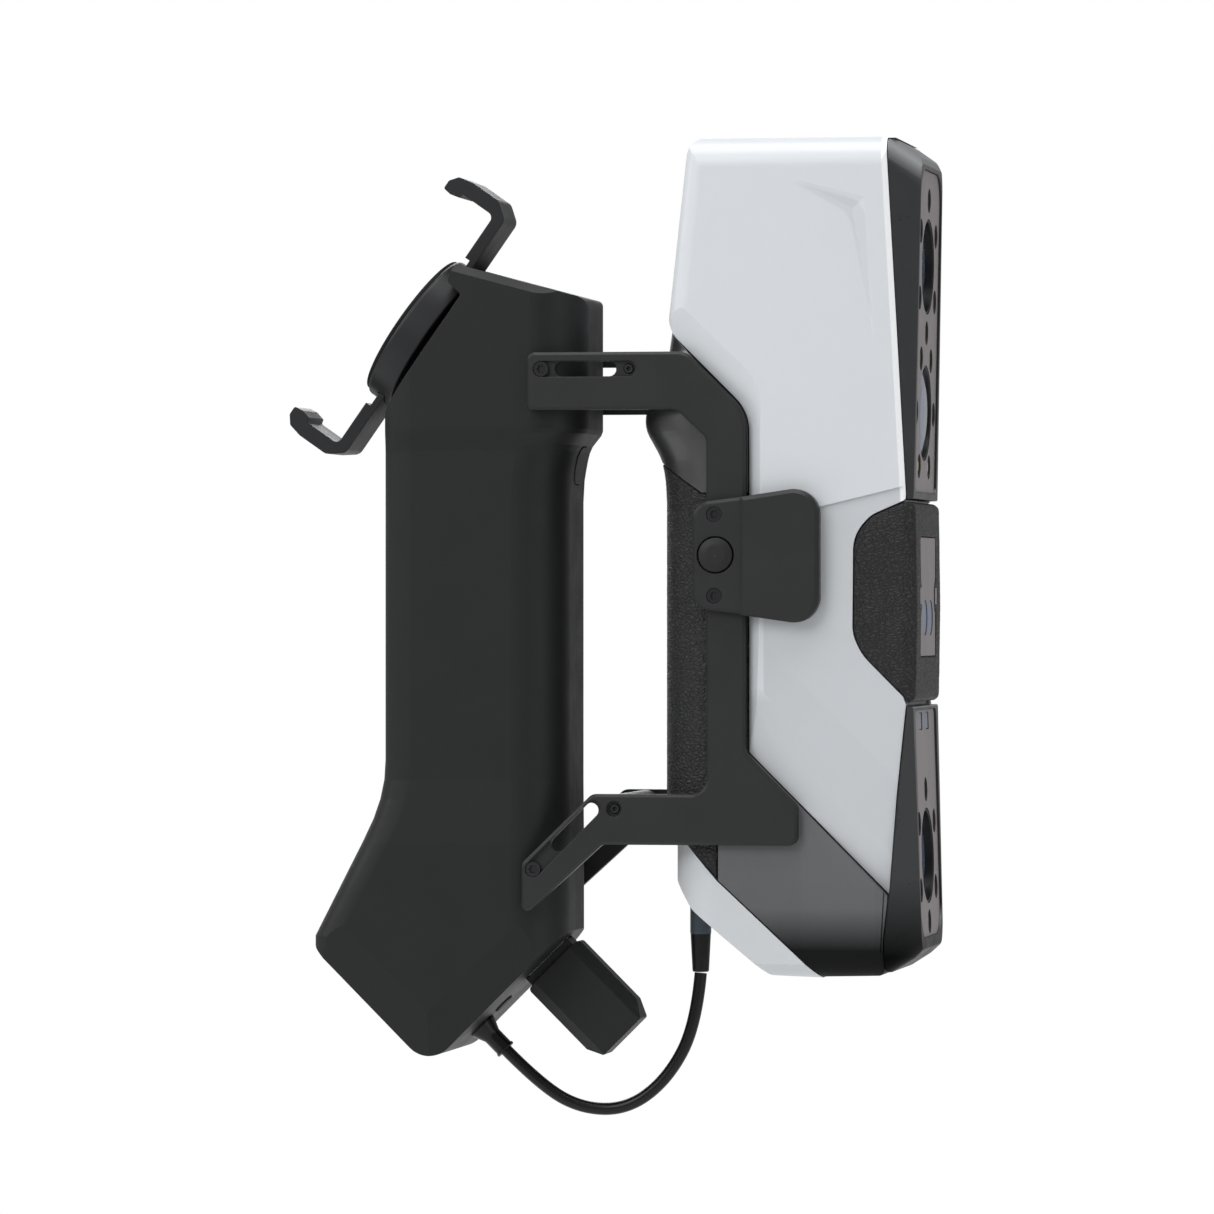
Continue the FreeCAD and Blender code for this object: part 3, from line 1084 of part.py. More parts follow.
# lamp boards
LAMP_BASE, LAMP_CURVE = -5.6, 10.0
for name, place, (low, high, low_round, high_round), spots, cameras in PLATES:
    board_low, board_high = (-36.9, 38.0) if name == "upper" else (-20.6, 19.4)
    board = box(board_low, board_high, -19.9, 19.9, LAMP_BASE - 1.8, LAMP_BASE)
    for x, y in spots:
        lamp = Part.makeCylinder(size("led_radius"), size("led_height"), V(x, y, LAMP_BASE))
        dome = Part.makeCylinder(size("led_radius"), 1.0, V(x, y, LAMP_BASE + size("led_height")))
        crown = Part.makeSphere(LAMP_CURVE, V(x, y, LAMP_BASE + size("led_height") + 0.4 - LAMP_CURVE))
        board = board.fuse(lamp).fuse(dome.common(crown))
    for drop in cameras:
        board = board.cut(Part.makeCylinder(12.3, 6, V(drop, 0, -9)))
    feature("lamp_board_" + name, board.removeSplitter(), place)

# line projectors behind the middle and lower windows
block = box(94, 108.4, -11.5, 11.5, -0.6, 11.2)
for side in (-1, 1):
    start = V(100.2, side * size("laser_spacing"), size("laser_z"))
    block = block.fuse(Part.makeCylinder(size("laser_window") - 0.1, 13.9, start, V(1, 0, 0)))
feature("line_projector", block.removeSplitter())
block = box(-3.4, 3.4, -10.6, 10.6, -20, -6.4)
for side in (-1, 1):
    snout = box(-size("pattern_tall") / 2 + 0.15, size("pattern_tall") / 2 - 0.15,
                -size("pattern_wide") / 2 + 0.15, size("pattern_wide") / 2 - 0.15, -8, -0.8)
    snout.translate(V(0, side * size("pattern_spacing"), 0))
    block = block.fuse(snout)
feature("pattern_projector", block.removeSplitter(),
        lower_face.multiply(FreeCAD.Placement(V(PATTERN_DROP, 0, 0), FreeCAD.Rotation())))

# spine plate that carries the cameras, and the main board behind it
bench = brick("SpinePlate", "bench_thick", "bench_wide", "bench_tall",
              FreeCAD.Placement(V(85.1, -18.0, -68.0), FreeCAD.Rotation()))
keep(bench, "camera_spine")
board = brick("MainBoardPlate", "board_thick", "main_board_wide", "main_board_tall",
              FreeCAD.Placement(V(78.0, -17.0, size("main_board_low")), FreeCAD.Rotation()))
chip = brick("MainChip", "board_thick + 1.4", "main_board_wide / 2", "main_board_wide / 2",
             FreeCAD.Placement(V(79.6, -8.5, 40.0), FreeCAD.Rotation()))
keep(joined("MainBoardAll", [board, chip]), "main_board")

# ---------------------------------------------------------------- checks and files
doc.recompute()
for item in doc.Objects:
    for word in ("Invalid", "Error"):
        if word in item.State:
            raise RuntimeError("%s (%s) is %s" % (item.Label, item.Name, word))
os.makedirs("parts", exist_ok=True)
for item in nodes:
    shape = item.Shape
    if shape.isNull() or not shape.isValid() or not shape.Solids:
        raise RuntimeError("%s has no valid solid" % item.Label)
for item in nodes:
    item.Shape.exportStep("parts/%s.step" % item.Label)
print(len(nodes), "parts written")
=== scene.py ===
import json
import math

import bmesh
import bpy
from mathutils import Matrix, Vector, noise


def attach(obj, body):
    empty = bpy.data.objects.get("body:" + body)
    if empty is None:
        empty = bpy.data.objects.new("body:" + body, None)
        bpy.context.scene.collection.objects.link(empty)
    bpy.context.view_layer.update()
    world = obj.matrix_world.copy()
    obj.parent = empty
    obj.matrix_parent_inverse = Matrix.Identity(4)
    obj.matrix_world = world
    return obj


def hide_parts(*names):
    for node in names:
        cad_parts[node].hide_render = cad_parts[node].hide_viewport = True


# Handheld three-camera scanner with its battery handle, phone cradle, adapter and link cable.
# Everything is in metres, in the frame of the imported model.

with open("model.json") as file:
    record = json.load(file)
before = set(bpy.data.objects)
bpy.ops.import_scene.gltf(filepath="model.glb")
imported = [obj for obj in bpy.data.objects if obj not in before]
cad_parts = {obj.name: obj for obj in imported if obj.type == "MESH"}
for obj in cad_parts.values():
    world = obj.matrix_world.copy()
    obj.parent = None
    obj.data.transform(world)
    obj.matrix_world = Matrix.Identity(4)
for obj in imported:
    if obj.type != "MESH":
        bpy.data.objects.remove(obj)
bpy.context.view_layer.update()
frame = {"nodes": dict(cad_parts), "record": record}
nodes = frame["nodes"]
scene = bpy.context.scene
MM = 0.001

# ---------------------------------------------------------------- camera
AZIMUTH = math.radians(9.9)
DISTANCE = 1.8205
LOOK_AT = Vector((0.03145, 0.0, 0.0080))
FOCAL_SHARE = 5.8484  # focal length over frame width
SENSOR = 36.0

camera_data = bpy.data.cameras.new("studio_camera")
camera_data.sensor_width = SENSOR
camera_data.lens = SENSOR * FOCAL_SHARE
camera_data.clip_end = 50.0
camera = bpy.data.objects.new("studio_camera", camera_data)
scene.collection.objects.link(camera)
camera.location = LOOK_AT + DISTANCE * Vector((math.sin(AZIMUTH), -math.cos(AZIMUTH), 0.0))
camera.rotation_euler = (LOOK_AT - camera.location).to_track_quat("-Z", "Y").to_euler()
scene.camera = camera

# ---------------------------------------------------------------- cable
CABLE_DIAMETER = 0.0032
CABLE_ROUTE = [(4.1, -104.8), (12.6, -113.3), (23.5, -120.4), (36.5, -120.9), (47.3, -112.8),
               (54.6, -99.0), (55.8, -85.6)]


def cable_curve():
    """The link cable as one smooth spline through its route's control points."""
    curve = bpy.data.curves.new("link_cable", "CURVE")
    curve.dimensions = "3D"
    curve.bevel_depth = 1.0  # a unit section, which each point's radius scales to the cable's own
    curve.bevel_resolution = 10
    curve.resolution_u = 48
    curve.use_fill_caps = True
    spline = curve.splines.new("NURBS")
    spline.points.add(len(CABLE_ROUTE) - 1)
    for point, (x, z) in zip(spline.points, CABLE_ROUTE):
        point.co = (x * MM, 0.0, z * MM, 1.0)
        point.radius = CABLE_DIAMETER / 2
    spline.order_u = 3
    spline.use_endpoint_u = True
    cable = bpy.data.objects.new("link_cable", curve)
    scene.collection.objects.link(cable)
    return cable


cable = cable_curve()
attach(cable, "scanner")
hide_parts("cable_tube")


# ---------------------------------------------------------------- material toolkit
BLACK = (0.0, 0.0, 0.0, 1.0)
MICRON = 0.000001
SOFT_EDGE = 0.2  # half the width in mm over which a mask fades


class Graph:
    """A small helper for building one material's node graph."""

    def __init__(self, name):
        self.material = bpy.data.materials.new(name)
        self.material.use_nodes = True
        self.tree = self.material.node_tree
        self.tree.nodes.clear()
        output = self.tree.nodes.new("ShaderNodeOutputMaterial")
        self.shader = self.tree.nodes.new("ShaderNodeBsdfPrincipled")
        self.tree.links.new(self.shader.outputs[0], output.inputs[0])
        coords = self.tree.nodes.new("ShaderNodeTexCoord")
        self.place = coords.outputs["Object"]

    def link(self, source, target):
        """Connects an output socket to an input socket."""
        self.tree.links.new(source, target)

    def drive(self, **sources):
        """Connects output sockets to the shader's own sockets."""
        for name, source in sources.items():
            self.link(source, self.shader.inputs[name.replace("_", " ")])

    def constant(self, **values):
        """Sets plain values on the shader's own sockets."""
        for name, value in values.items():
            self.shader.inputs[name.replace("_", " ")].default_value = value

    def fill(self, socket, value):
        """Gives an input socket a link or a plain value."""
        if isinstance(value, bpy.types.NodeSocket):
            self.link(value, socket)
        else:
            socket.default_value = value

    def node(self, kind, **inputs):
        """A node with its input values or links."""
        made = self.tree.nodes.new(kind)
        for name, value in inputs.items():
            self.fill(made.inputs[name.replace("_", " ")], value)
        return made

    def axes(self):
        """X, Y and Z of the place in the object, in metres."""
        return self.node("ShaderNodeSeparateXYZ", Vector=self.place).outputs

    def outward(self):
        """X, Y and Z of the surface's normal."""
        normal = self.node("ShaderNodeNewGeometry").outputs["Normal"]
        return self.node("ShaderNodeSeparateXYZ", Vector=normal).outputs

    def stretched(self, x, y, z):
        """Object coordinates scaled by axis."""
        mapping = self.node("ShaderNodeMapping", Vector=self.place)
        mapping.inputs["Scale"].default_value = (x, y, z)
        return mapping.outputs[0]

    def noise(self, scale, detail=3.0, rough=0.55, where=None):
        """Fractal noise with its features per metre."""
        return self.node("ShaderNodeTexNoise", Vector=where or self.place, Scale=scale, Detail=detail,
                         Roughness=rough).outputs[0]

    def ramp(self, source, low, high, dark, light):
        """Maps a range of a value to a range of another."""
        made = self.node("ShaderNodeMapRange", Value=source)
        made.inputs["From Min"].default_value = low
        made.inputs["From Max"].default_value = high
        made.inputs["To Min"].default_value = dark
        made.inputs["To Max"].default_value = light
        return made.outputs[0]

    def past(self, source, start, end):
        """A mask that rises from 0 at the start to 1 at the end, both in mm."""
        return self.ramp(source, start * MM, end * MM, 0.0, 1.0)

    def band(self, source, low, high):
        """A mask that is 1 between two values in mm and 0 outside."""
        rise = self.past(source, low - SOFT_EDGE, low + SOFT_EDGE)
        fall = self.past(source, high + SOFT_EDGE, high - SOFT_EDGE)
        return self.both(rise, fall)

    def blend(self, factor, first, second):
        """Mixes two colours, given as values or links."""
        made = self.tree.nodes.new("ShaderNodeMix")
        made.data_type = "RGBA"
        for place, value in ((0, factor), (6, first), (7, second)):
            self.fill(made.inputs[place], value)
        return made.outputs[2]

    def darken(self, tone, mask, amount):
        """A colour taken towards black where a mask is set."""
        return self.blend(self.math("MULTIPLY", mask, amount), tone, BLACK)

    def math(self, operation, first, second):
        """One arithmetic step."""
        made = self.tree.nodes.new("ShaderNodeMath")
        made.operation = operation
        self.fill(made.inputs[0], first)
        self.fill(made.inputs[1], second)
        return made.outputs[0]

    def both(self, first, *others):
        """The overlap of two or more masks."""
        for other in others:
            first = self.math("MULTIPLY", first, other)
        return first

    def rounded_edges(self, radius):
        """Normals that round off sharp edges by a radius."""
        made = self.node("ShaderNodeBevel", Radius=radius)
        made.samples = 6
        return made.outputs[0]

    def bump(self, height, distance, before=None):
        """Surface relief, in metres."""
        made = self.node("ShaderNodeBump", Height=height, Distance=distance, Strength=1.0)
        if before is not None:
            self.link(before, made.inputs["Normal"])
        return made.outputs[0]


def shade(colour, amount):
    """A colour made lighter or darker, with full alpha."""
    return tuple(min(1.0, c * amount) for c in colour[:3]) + (1.0,)


# ---------------------------------------------------------------- moulded plastics
def moulded(name, colour, rough, grain=2200.0, relief=20.0, mottle=0.06, coat=0.0, specular=0.3,
            edge=0.3, tint=None):
    """Moulded or painted plastic: fine grain, faint mottling, uneven gloss and softened edges.

    Grain is in features per metre, relief in microns and the edge's radius in mm.
    """
    g = Graph(name)
    cloud = g.noise(38.0, 4.0)
    fine = g.noise(grain, 2.0)
    base = g.blend(cloud, shade(colour, 1 - mottle), shade(colour, 1 + mottle))
    speck = g.ramp(fine, 0.35, 0.65, 0.0, 1.0)
    tone = g.blend(speck, shade(colour, 1 - mottle / 2), base)
    if tint is not None:
        tone = tint(g, tone)
    smudge = g.noise(90.0, 5.0, 0.6)
    g.drive(Base_Color=tone, Roughness=g.ramp(smudge, 0.3, 0.7, rough - 0.05, rough + 0.06),
            Normal=g.bump(fine, relief * MICRON, g.rounded_edges(edge * MM)))
    g.constant(Coat_Weight=coat, Coat_Roughness=0.12, Specular_IOR_Level=specular)
    return g.material


# the upper dent lies between two falling paths, each a list of (X, Z) in mm; it is darkened as painted shade
DENT_OUTER = [(85.4, 114.4), (99.3, 110.4), (101.7, 107.2), (103.2, 82.0)]
DENT_INNER = [(85.4, 113.9), (96.3, 107.6), (98.1, 104.8), (102.9, 82.0)]
DENT_SOFT = 0.3
DENT_FROM_Y = (23.5, 24.5)
# the lower field and the slanted band below it part where X + Z passes a value; both are darkened as painted
# shade
FIELD_X, FIELD_DIAGONAL, FIELD_Y = (75.8, 130.0), (62.2, 300.0), (22.5, 25.15)
FIELD_TOP, SLANT_EDGE, SLANT_TOP = (40.5, 39.5), (62.4, 62.0), (-12.0, -16.0)
# how far painted shade darkens the lower field, the slanted band and the upper dent
FIELD_SHADE, SLANT_SHADE, DENT_SHADE = 0.17, 0.17, 0.09
# the painted highlight strip follows the cover's leaning front edge
EDGE_LEAN, EDGE_X, EDGE_Z, EDGE_SHARE = 0.0564, (112.4, 112.7), (34.0, 130.0), 0.8
STRIP_HIGHLIGHT = (0.90, 0.91, 0.92, 1.0)
# painted shade greys the cover's outline where it turns away, past this facing
OUTLINE_FROM, OUTLINE_SHADE = 0.70, 0.55


def below_line(g, axes, start, end):
    """A mask of what lies below a line from left to right."""
    (x0, z0), (x1, z1) = start, end
    span = math.hypot(x1 - x0, z1 - z0)
    nx, nz = (z1 - z0) / span, -(x1 - x0) / span
    side = g.math("ADD", g.math("MULTIPLY", axes[0], nx), g.math("MULTIPLY", axes[2], nz))
    edge = x0 * nx + z0 * nz
    return g.past(side, edge - DENT_SOFT, edge + DENT_SOFT)


def under_path(g, axes, path):
    """A mask of what lies below and left of a path that falls from left to right."""
    return g.both(*[below_line(g, axes, path[k], path[k + 1]) for k in range(len(path) - 1)])


def cover_shade_and_highlight(g, tone):
    """Painted shade darkens the cover's lower field, slanted band and upper dent and greys its outline; a
    painted highlight pales its front strip.
    """
    axes = g.axes()
    out = g.math("ABSOLUTE", axes[1], 0.0)
    diagonal = g.math("ADD", axes[0], axes[2])
    field = g.both(g.band(axes[0], *FIELD_X), g.band(diagonal, *FIELD_DIAGONAL), g.band(out, *FIELD_Y),
                   g.past(axes[2], *FIELD_TOP))
    slant = g.both(g.past(diagonal, *SLANT_EDGE), g.past(axes[2], *SLANT_TOP))
    ring = g.math("SUBTRACT", under_path(g, axes, DENT_OUTER), under_path(g, axes, DENT_INNER))
    dent = g.math("MAXIMUM", g.both(ring, g.past(out, *DENT_FROM_Y)), 0.0)
    # painted shade on the lower field and on the slanted band below it
    tone = g.darken(tone, field, FIELD_SHADE)
    tone = g.darken(tone, slant, SLANT_SHADE)
    # painted shade in the upper dent
    tone = g.darken(tone, dent, DENT_SHADE)
    # painted highlight along the cover's front edge
    front = g.math("ADD", axes[0], g.math("MULTIPLY", axes[2], EDGE_LEAN))
    strip = g.both(g.past(front, *EDGE_X), g.band(axes[2], *EDGE_Z), EDGE_SHARE)
    tone = g.blend(strip, tone, STRIP_HIGHLIGHT)
    # painted shade where the cover turns away at its outline
    facing = g.node("ShaderNodeLayerWeight", Blend=0.5).outputs["Facing"]
    return g.blend(g.ramp(facing, OUTLINE_FROM, 1.0, 0.0, OUTLINE_SHADE), tone, BLACK)


def painted_shade_below(g, tone, start, end, most, specular):
    """Painted shade: the colour darkens and the gloss fades from one height in mm down to another."""
    depth = g.past(g.axes()[2], start, end)
    g.drive(Specular_IOR_Level=g.ramp(depth, 0.0, 1.0, specular, specular * (1 - most)))
    return g.darken(tone, depth, most)


def belly_shade(g, tone):
    """Painted shade deepens the lower housing towards its underside."""
    tone = painted_shade_below(g, tone, start=-68.0, end=-78.5, most=0.90, specular=0.35)
    # a second, gentler painted shade from higher up
    return g.darken(tone, g.past(g.axes()[2], -52.0, -75.0), 0.22)


def chin_shade_and_highlight(g, tone):
    """Painted shade darkens the nose towards its chin, and a painted highlight pales it where its upper edge
    rolls over.
    """
    tone = painted_shade_below(g, tone, start=-60.0, end=-80.0, most=0.94, specular=0.5)
    rise = g.outward()[2]
    roll_highlight = g.both(g.ramp(rise, 0.12, 0.50, 0.0, 0.85), g.ramp(rise, 0.55, 0.90, 1.0, 0.45))
    # painted highlight where the nose's upper edge rolls over
    return g.blend(roll_highlight, tone, (0.30, 0.31, 0.32, 1.0))


def plug_collar(g, tone):
    """The plug's upper collar is a paler slate than the cable."""
    axes = g.axes()
    collar = g.both(g.band(axes[0], 50.0, 62.0), g.band(axes[2], -75.5, -58.0))
    return g.blend(collar, tone, (0.045, 0.058, 0.070, 1.0))


def painted_wall_shade(g, tone):
    """Painted shade: the face plates' hole walls and rims, which do not face forward, are darkened."""
    across = g.math("ABSOLUTE", g.outward()[0], 0.0)
    return g.blend(g.ramp(across, 0.45, 0.75, 0.92, 0.0), tone, (0.02, 0.02, 0.02, 1.0))


GLASS_DEEP, GLASS_PALE = (0.085, 0.115, 0.19, 1.0), (0.20, 0.25, 0.37, 1.0)


def glazed_barrel(g, tone):
    """Projector fronts are slate-blue glass where they show in their windows."""
    axes = g.axes()
    front = g.both(g.past(axes[0], 112.9, 113.0), g.band(axes[2], -24.0, 11.0))
    return g.blend(front, tone, GLASS_PALE)


PLASTICS = {
    "cover_white": dict(colour=(0.60, 0.625, 0.65), rough=0.34, grain=2600.0, relief=5.0, mottle=0.012,
                        coat=0.15, specular=0.5, tint=cover_shade_and_highlight),
    "trim_grey": dict(colour=(0.53, 0.55, 0.57), rough=0.40, grain=2400.0, relief=8.0, mottle=0.02,
                      coat=0.1, specular=0.4),
    "housing_grey": dict(colour=(0.112, 0.115, 0.119), rough=0.42, grain=1800.0, relief=12.0, mottle=0.05,
                         tint=belly_shade),
    "nose_dark": dict(colour=(0.019, 0.0205, 0.022), rough=0.30, grain=2400.0, relief=4.0, tint=chin_shade_and_highlight),
    "gloss_black": dict(colour=(0.018, 0.0185, 0.0195), rough=0.36, grain=2600.0, relief=0.5, mottle=0.03,
                        coat=0.15, specular=1.0),
    "face_taupe": dict(colour=(0.27, 0.245, 0.25), rough=0.42, grain=2000.0, relief=6.0, mottle=0.04,
                       tint=painted_wall_shade),
    "handle_black": dict(colour=(0.0105, 0.011, 0.0115), rough=0.50, grain=1900.0, relief=9.0, mottle=0.08,
                         specular=0.26),
    "key_rubber": dict(colour=(0.016, 0.016, 0.017), rough=0.58, grain=1600.0, relief=15.0, mottle=0.08,
                       specular=0.25),
    "bracket_black": dict(colour=(0.019, 0.0195, 0.020), rough=0.42, grain=2600.0, relief=7.0, mottle=0.08,
                          specular=0.28),
    "cradle_black": dict(colour=(0.0145, 0.015, 0.0165), rough=0.42, grain=2800.0, relief=3.0,
                         specular=0.28),
    "rest_rubber": dict(colour=(0.005, 0.005, 0.005), rough=0.70, grain=1200.0, relief=30.0, mottle=0.12,
                        specular=0.25),
    "gear_white": dict(colour=(0.60, 0.58, 0.52), rough=0.45),
    "cable_black": dict(colour=(0.006, 0.006, 0.006), rough=0.30, grain=1500.0, relief=0.5, mottle=0.08,
                        coat=0.1, specular=0.2, edge=0.0, tint=plug_collar),
    "barrel_dark": dict(colour=(0.012, 0.012, 0.013), rough=0.34, grain=3000.0, relief=6.0, mottle=0.1,
                        tint=glazed_barrel),
    "cell_wrap": dict(colour=(0.03, 0.12, 0.30), rough=0.35),
    "switch_dark": dict(colour=(0.03, 0.03, 0.03), rough=0.5),
}
FLOOR_PAPER = dict(colour=(0.84, 0.84, 0.84), rough=0.7, grain=400.0, mottle=0.01)


# ---------------------------------------------------------------- leather, metal, glass and boards
LEATHER_CELLS = 720.0  # per metre
LEATHER_RELIEF = 190.0  # microns


def leather(name, colour):
    """Fine pebbled leather: rows of small warped cells with creases and a soft sheen."""
    g = Graph(name)
    warp = g.node("ShaderNodeTexNoise", Vector=g.place, Scale=160.0, Detail=3.0)
    shift = g.node("ShaderNodeVectorMath", Vector=warp.outputs["Color"])
    shift.operation = "SCALE"
    shift.inputs["Scale"].default_value = 4.0 * MM
    moved = g.node("ShaderNodeVectorMath", Vector=g.stretched(1.0, 1.0, 1.5))
    moved.operation = "ADD"
    g.link(shift.outputs[0], moved.inputs[1])
    cells = g.node("ShaderNodeTexVoronoi", Vector=moved.outputs[0], Scale=LEATHER_CELLS)
    cells.feature = "DISTANCE_TO_EDGE"
    crease = g.ramp(cells.outputs["Distance"], 0.0, 0.22, 0.0, 1.0)
    pores = g.noise(4200.0, 2.0)
    patch = g.noise(55.0, 3.0)
    relief = g.math("ADD", crease, g.math("MULTIPLY", pores, 0.3))
    # painted shade: the creases between cells are darker than the cells' middles
    tone = g.blend(crease, shade(colour, 0.62), shade(colour, 1.12))
    tone = g.blend(g.ramp(patch, 0.3, 0.7, 0.0, 0.16), tone, BLACK)
    g.drive(Base_Color=tone, Roughness=g.ramp(relief, 0.0, 1.3, 0.62, 0.40),
            Normal=g.bump(relief, LEATHER_RELIEF * MICRON))
    g.constant(Specular_IOR_Level=0.34, Sheen_Weight=0.05, Sheen_Roughness=0.4)
    return g.material


def metal(name, colour, rough):
    """Brushed or milled metal with streaks along one axis."""
    g = Graph(name)
    streaks = g.noise(1.0, 3.0, 0.6, g.stretched(60.0, 4000.0, 60.0))
    cloud = g.noise(60.0, 3.0)
    g.drive(Base_Color=g.blend(streaks, shade(colour, 0.86), shade(colour, 1.1)),
            Roughness=g.ramp(cloud, 0.3, 0.7, rough - 0.06, rough + 0.08),
            Normal=g.bump(streaks, 6.0 * MICRON))
    g.constant(Metallic=1.0)
    return g.material


def lens_glass(name):
    """Coated lens glass: slate blue, with a painted reflection that pales it where it is seen at a slant."""
    g = Graph(name)
    # painted reflection: paler where the glass is seen at a slant
    facing = g.node("ShaderNodeLayerWeight", Blend=0.35).outputs["Facing"]
    cloud = g.noise(150.0, 2.0)
    deep = g.blend(cloud, GLASS_DEEP, shade(GLASS_DEEP, 0.8))
    g.drive(Base_Color=g.blend(facing, deep, GLASS_PALE), Roughness=g.ramp(cloud, 0.3, 0.7, 0.05, 0.09))
    g.constant(Specular_IOR_Level=0.6, IOR=1.5, Coat_Weight=0.6, Coat_Roughness=0.03)
    return g.material


LAMP_FRONT_X = (109.6, 109.9)  # lamps stand proud of the board past this X, in mm
AMBER_LAMPS_Z, STRAW_LAMPS_Z = (54.0, 73.0), (40.0, 47.5)


def lamp_board(name):
    """Circuit board whose raised lamps are smoky resin, with pale chips around the middle camera."""
    g = Graph(name)
    axes = g.axes()
    lamp = g.past(axes[0], *LAMP_FRONT_X)
    traces = g.noise(420.0, 1.0)
    board = g.blend(g.ramp(traces, 0.48, 0.52, 0.0, 1.0), (0.012, 0.05, 0.025, 1.0), (0.02, 0.09, 0.045, 1.0))
    smoke = g.blend(g.noise(700.0, 2.0), (0.035, 0.035, 0.034, 1.0), (0.060, 0.058, 0.054, 1.0))
    amber = g.blend(g.noise(900.0, 2.0), (0.10, 0.085, 0.045, 1.0), (0.16, 0.14, 0.08, 1.0))
    straw = g.blend(g.noise(900.0, 2.0), (0.55, 0.50, 0.30, 1.0), (0.70, 0.64, 0.42, 1.0))
    resin = g.blend(g.band(axes[2], *AMBER_LAMPS_Z), smoke, amber)
    resin = g.blend(g.band(axes[2], *STRAW_LAMPS_Z), resin, straw)
    g.drive(Base_Color=g.blend(lamp, board, resin), Roughness=g.ramp(lamp, 0.0, 1.0, 0.45, 0.30),
            Normal=g.bump(traces, 20.0 * MICRON))
    g.constant(Specular_IOR_Level=0.06)
    return g.material


METALS = {
    "spring_steel": ((0.45, 0.45, 0.47), 0.32),
    "screw_steel": ((0.045, 0.045, 0.048), 0.36),
    "metal_plain": ((0.60, 0.60, 0.62), 0.34),
}
MATERIALS = {name: moulded(name, **look) for name, look in PLASTICS.items()}
MATERIALS.update({name: metal(name, *look) for name, look in METALS.items()})
MATERIALS["grip_leather"] = leather("grip_leather", (0.0135, 0.0135, 0.0145))
MATERIALS["lens_glass"] = lens_glass("lens_glass")
MATERIALS["board_green"] = lamp_board("board_green")
slot_of = {entry["node"]: entry["material_slot"] for entry in frame["record"]["subparts"]}


def dress(thing, slot_name):
    """Gives a piece the finished material of a record slot."""
    if not thing.material_slots:
        thing.data.materials.append(MATERIALS[slot_name])
    for held in thing.material_slots:
        held.material = MATERIALS[slot_name]


# ---------------------------------------------------------------- leather skins
LEATHER_VOXEL = 0.45 * MM
WELD_DISTANCE = 2.0 * MICRON
SMOOTHING_ROUNDS = 3
WRINKLE_DEPTH = 0.03 * MM
WRINKLE_SCALE = 520.0  # per metre
SWELL_SCALE = 90.0  # per metre
SKIN_SWELL = 0.07 * MM


def closed_skin(name):
    """A soft node's mesh, welded and remeshed into one even closed skin."""
    blank = bpy.data.objects.new(name + "_blank", nodes[name].data.copy())
    scene.collection.objects.link(blank)
    work = bmesh.new()
    work.from_mesh(blank.data)
    bmesh.ops.remove_doubles(work, verts=work.verts, dist=WELD_DISTANCE)
    work.to_mesh(blank.data)
    work.free()
    remesh = blank.modifiers.new("skin", "REMESH")
    remesh.mode = "VOXEL"
    remesh.voxel_size = LEATHER_VOXEL
    depsgraph = bpy.context.evaluated_depsgraph_get()
    mesh = bpy.data.meshes.new_from_object(blank.evaluated_get(depsgraph))
    bpy.data.objects.remove(blank)
    return mesh


def wrinkle(vert):
    """How a skin's vertex moves out: a small swell, less where a crease runs."""
    distances = noise.voronoi(vert.co * WRINKLE_SCALE)[0]
    crease = min(1.0, (distances[1] - distances[0]) * 3.0)
    swell = noise.noise(vert.co * SWELL_SCALE)
    return vert.normal * (SKIN_SWELL + WRINKLE_DEPTH * (crease - 0.6 + 0.5 * swell))


def leather_skin(name):
    """A leather-covered copy of a soft node: rounded edges and shallow wrinkles."""
    mesh = closed_skin(name)
    work = bmesh.new()
    work.from_mesh(mesh)
    for _ in range(SMOOTHING_ROUNDS):
        bmesh.ops.smooth_vert(work, verts=work.verts, factor=0.5, use_axis_x=True, use_axis_y=True,
                              use_axis_z=True)
    work.normal_update()
    shifts = [wrinkle(vert) for vert in work.verts]
    for vert, shift in zip(work.verts, shifts):
        vert.co += shift
    for face in work.faces:
        face.smooth = True
    work.to_mesh(mesh)
    work.free()
    mesh.materials.clear()
    mesh.name = name + "_leather"
    skin = bpy.data.objects.new(name + "_leather", mesh)
    scene.collection.objects.link(skin)
    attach(skin, "scanner")
    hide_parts(name)
    return skin


for name, thing in nodes.items():
    dress(thing, slot_of[name])
dress(cable, "cable_black")
for name in ("rear_grip", "front_grip_pad"):
    dress(leather_skin(name), "grip_leather")

# ---------------------------------------------------------------- stage and light
FLOOR_Z = -0.30
FLOOR_RADIUS = 1.3
FILL_STRENGTH = 0.34
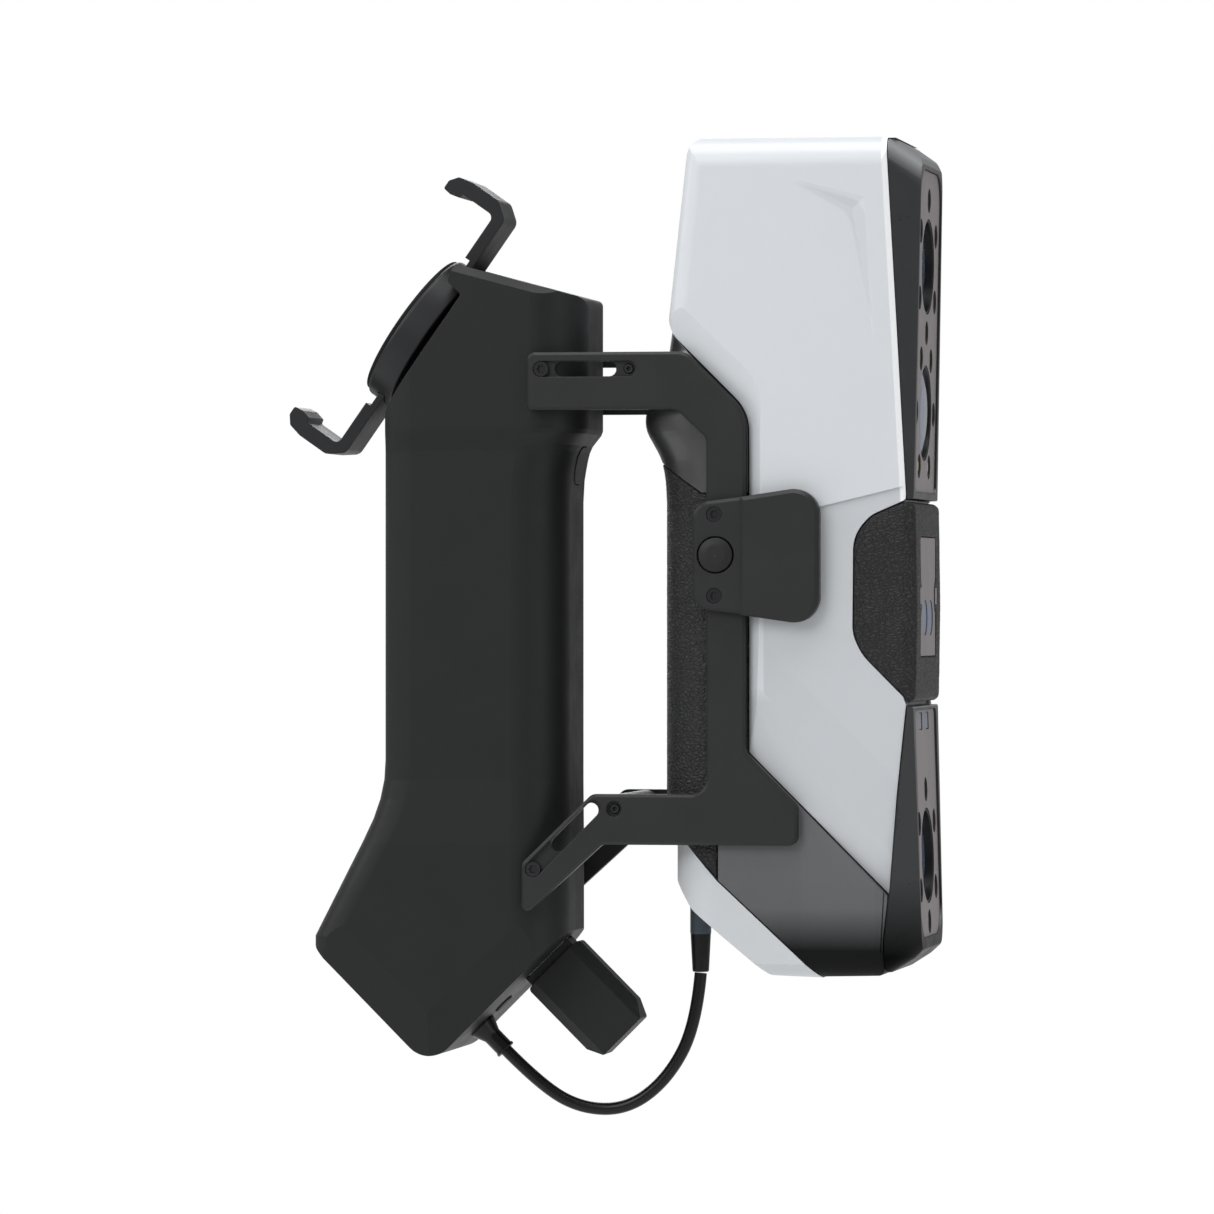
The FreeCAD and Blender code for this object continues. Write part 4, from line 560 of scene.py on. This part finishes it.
# each light: place in metres, width, height, watts
LIGHTS = {
    "key_front": ((-0.9, -1.6, 1.1), 1.2, 1.2, 19.0),
    "fill_right": ((1.7, -1.0, 0.3), 0.8, 1.4, 5.0),
    "top_soft": ((0.1, -0.3, 1.5), 1.2, 1.0, 16.0),
    "back_rim": ((-0.6, 1.6, 0.8), 1.2, 1.0, 12.0),
    "left_strip": ((-1.6, -0.35, 0.9), 0.5, 1.0, 9.0),
    "under_fill": ((0.2, -0.9, -0.9), 1.0, 0.6, 1.6),
}


def make_floor():
    """A plain pale disc under the object."""
    mesh = bpy.data.meshes.new("studio_floor")
    work = bmesh.new()
    bmesh.ops.create_circle(work, cap_ends=True, radius=FLOOR_RADIUS, segments=96)
    work.to_mesh(mesh)
    work.free()
    floor = bpy.data.objects.new("studio_floor", mesh)
    floor.location = (LOOK_AT.x, 0.0, FLOOR_Z)
    scene.collection.objects.link(floor)
    floor.data.materials.append(moulded("floor_paper", **FLOOR_PAPER))


def area_light(name, place, width, height, power):
    """A soft rectangular light aimed at the object's middle."""
    data = bpy.data.lights.new(name, "AREA")
    data.shape = "RECTANGLE"
    data.size = width
    data.size_y = height
    data.energy = power
    light = bpy.data.objects.new(name, data)
    light.location = place
    light.rotation_euler = (LOOK_AT - Vector(place)).to_track_quat("-Z", "Y").to_euler()
    scene.collection.objects.link(light)


def make_world():
    """White to the camera, softer grey as fill light."""
    world = bpy.data.worlds.new("studio_world")
    world.use_nodes = True
    tree = world.node_tree
    tree.nodes.clear()
    output = tree.nodes.new("ShaderNodeOutputWorld")
    mix = tree.nodes.new("ShaderNodeMixShader")
    paths = tree.nodes.new("ShaderNodeLightPath")
    for place, strength in ((1, FILL_STRENGTH), (2, 1.0)):
        background = tree.nodes.new("ShaderNodeBackground")
        background.inputs[0].default_value = (1.0, 1.0, 1.0, 1.0)
        background.inputs[1].default_value = strength
        tree.links.new(background.outputs[0], mix.inputs[place])
    tree.links.new(paths.outputs["Is Camera Ray"], mix.inputs[0])
    tree.links.new(mix.outputs[0], output.inputs[0])
    scene.world = world


make_floor()
make_world()
for name, light in LIGHTS.items():
    area_light(name, *light)
scene.view_settings.view_transform = "Standard"
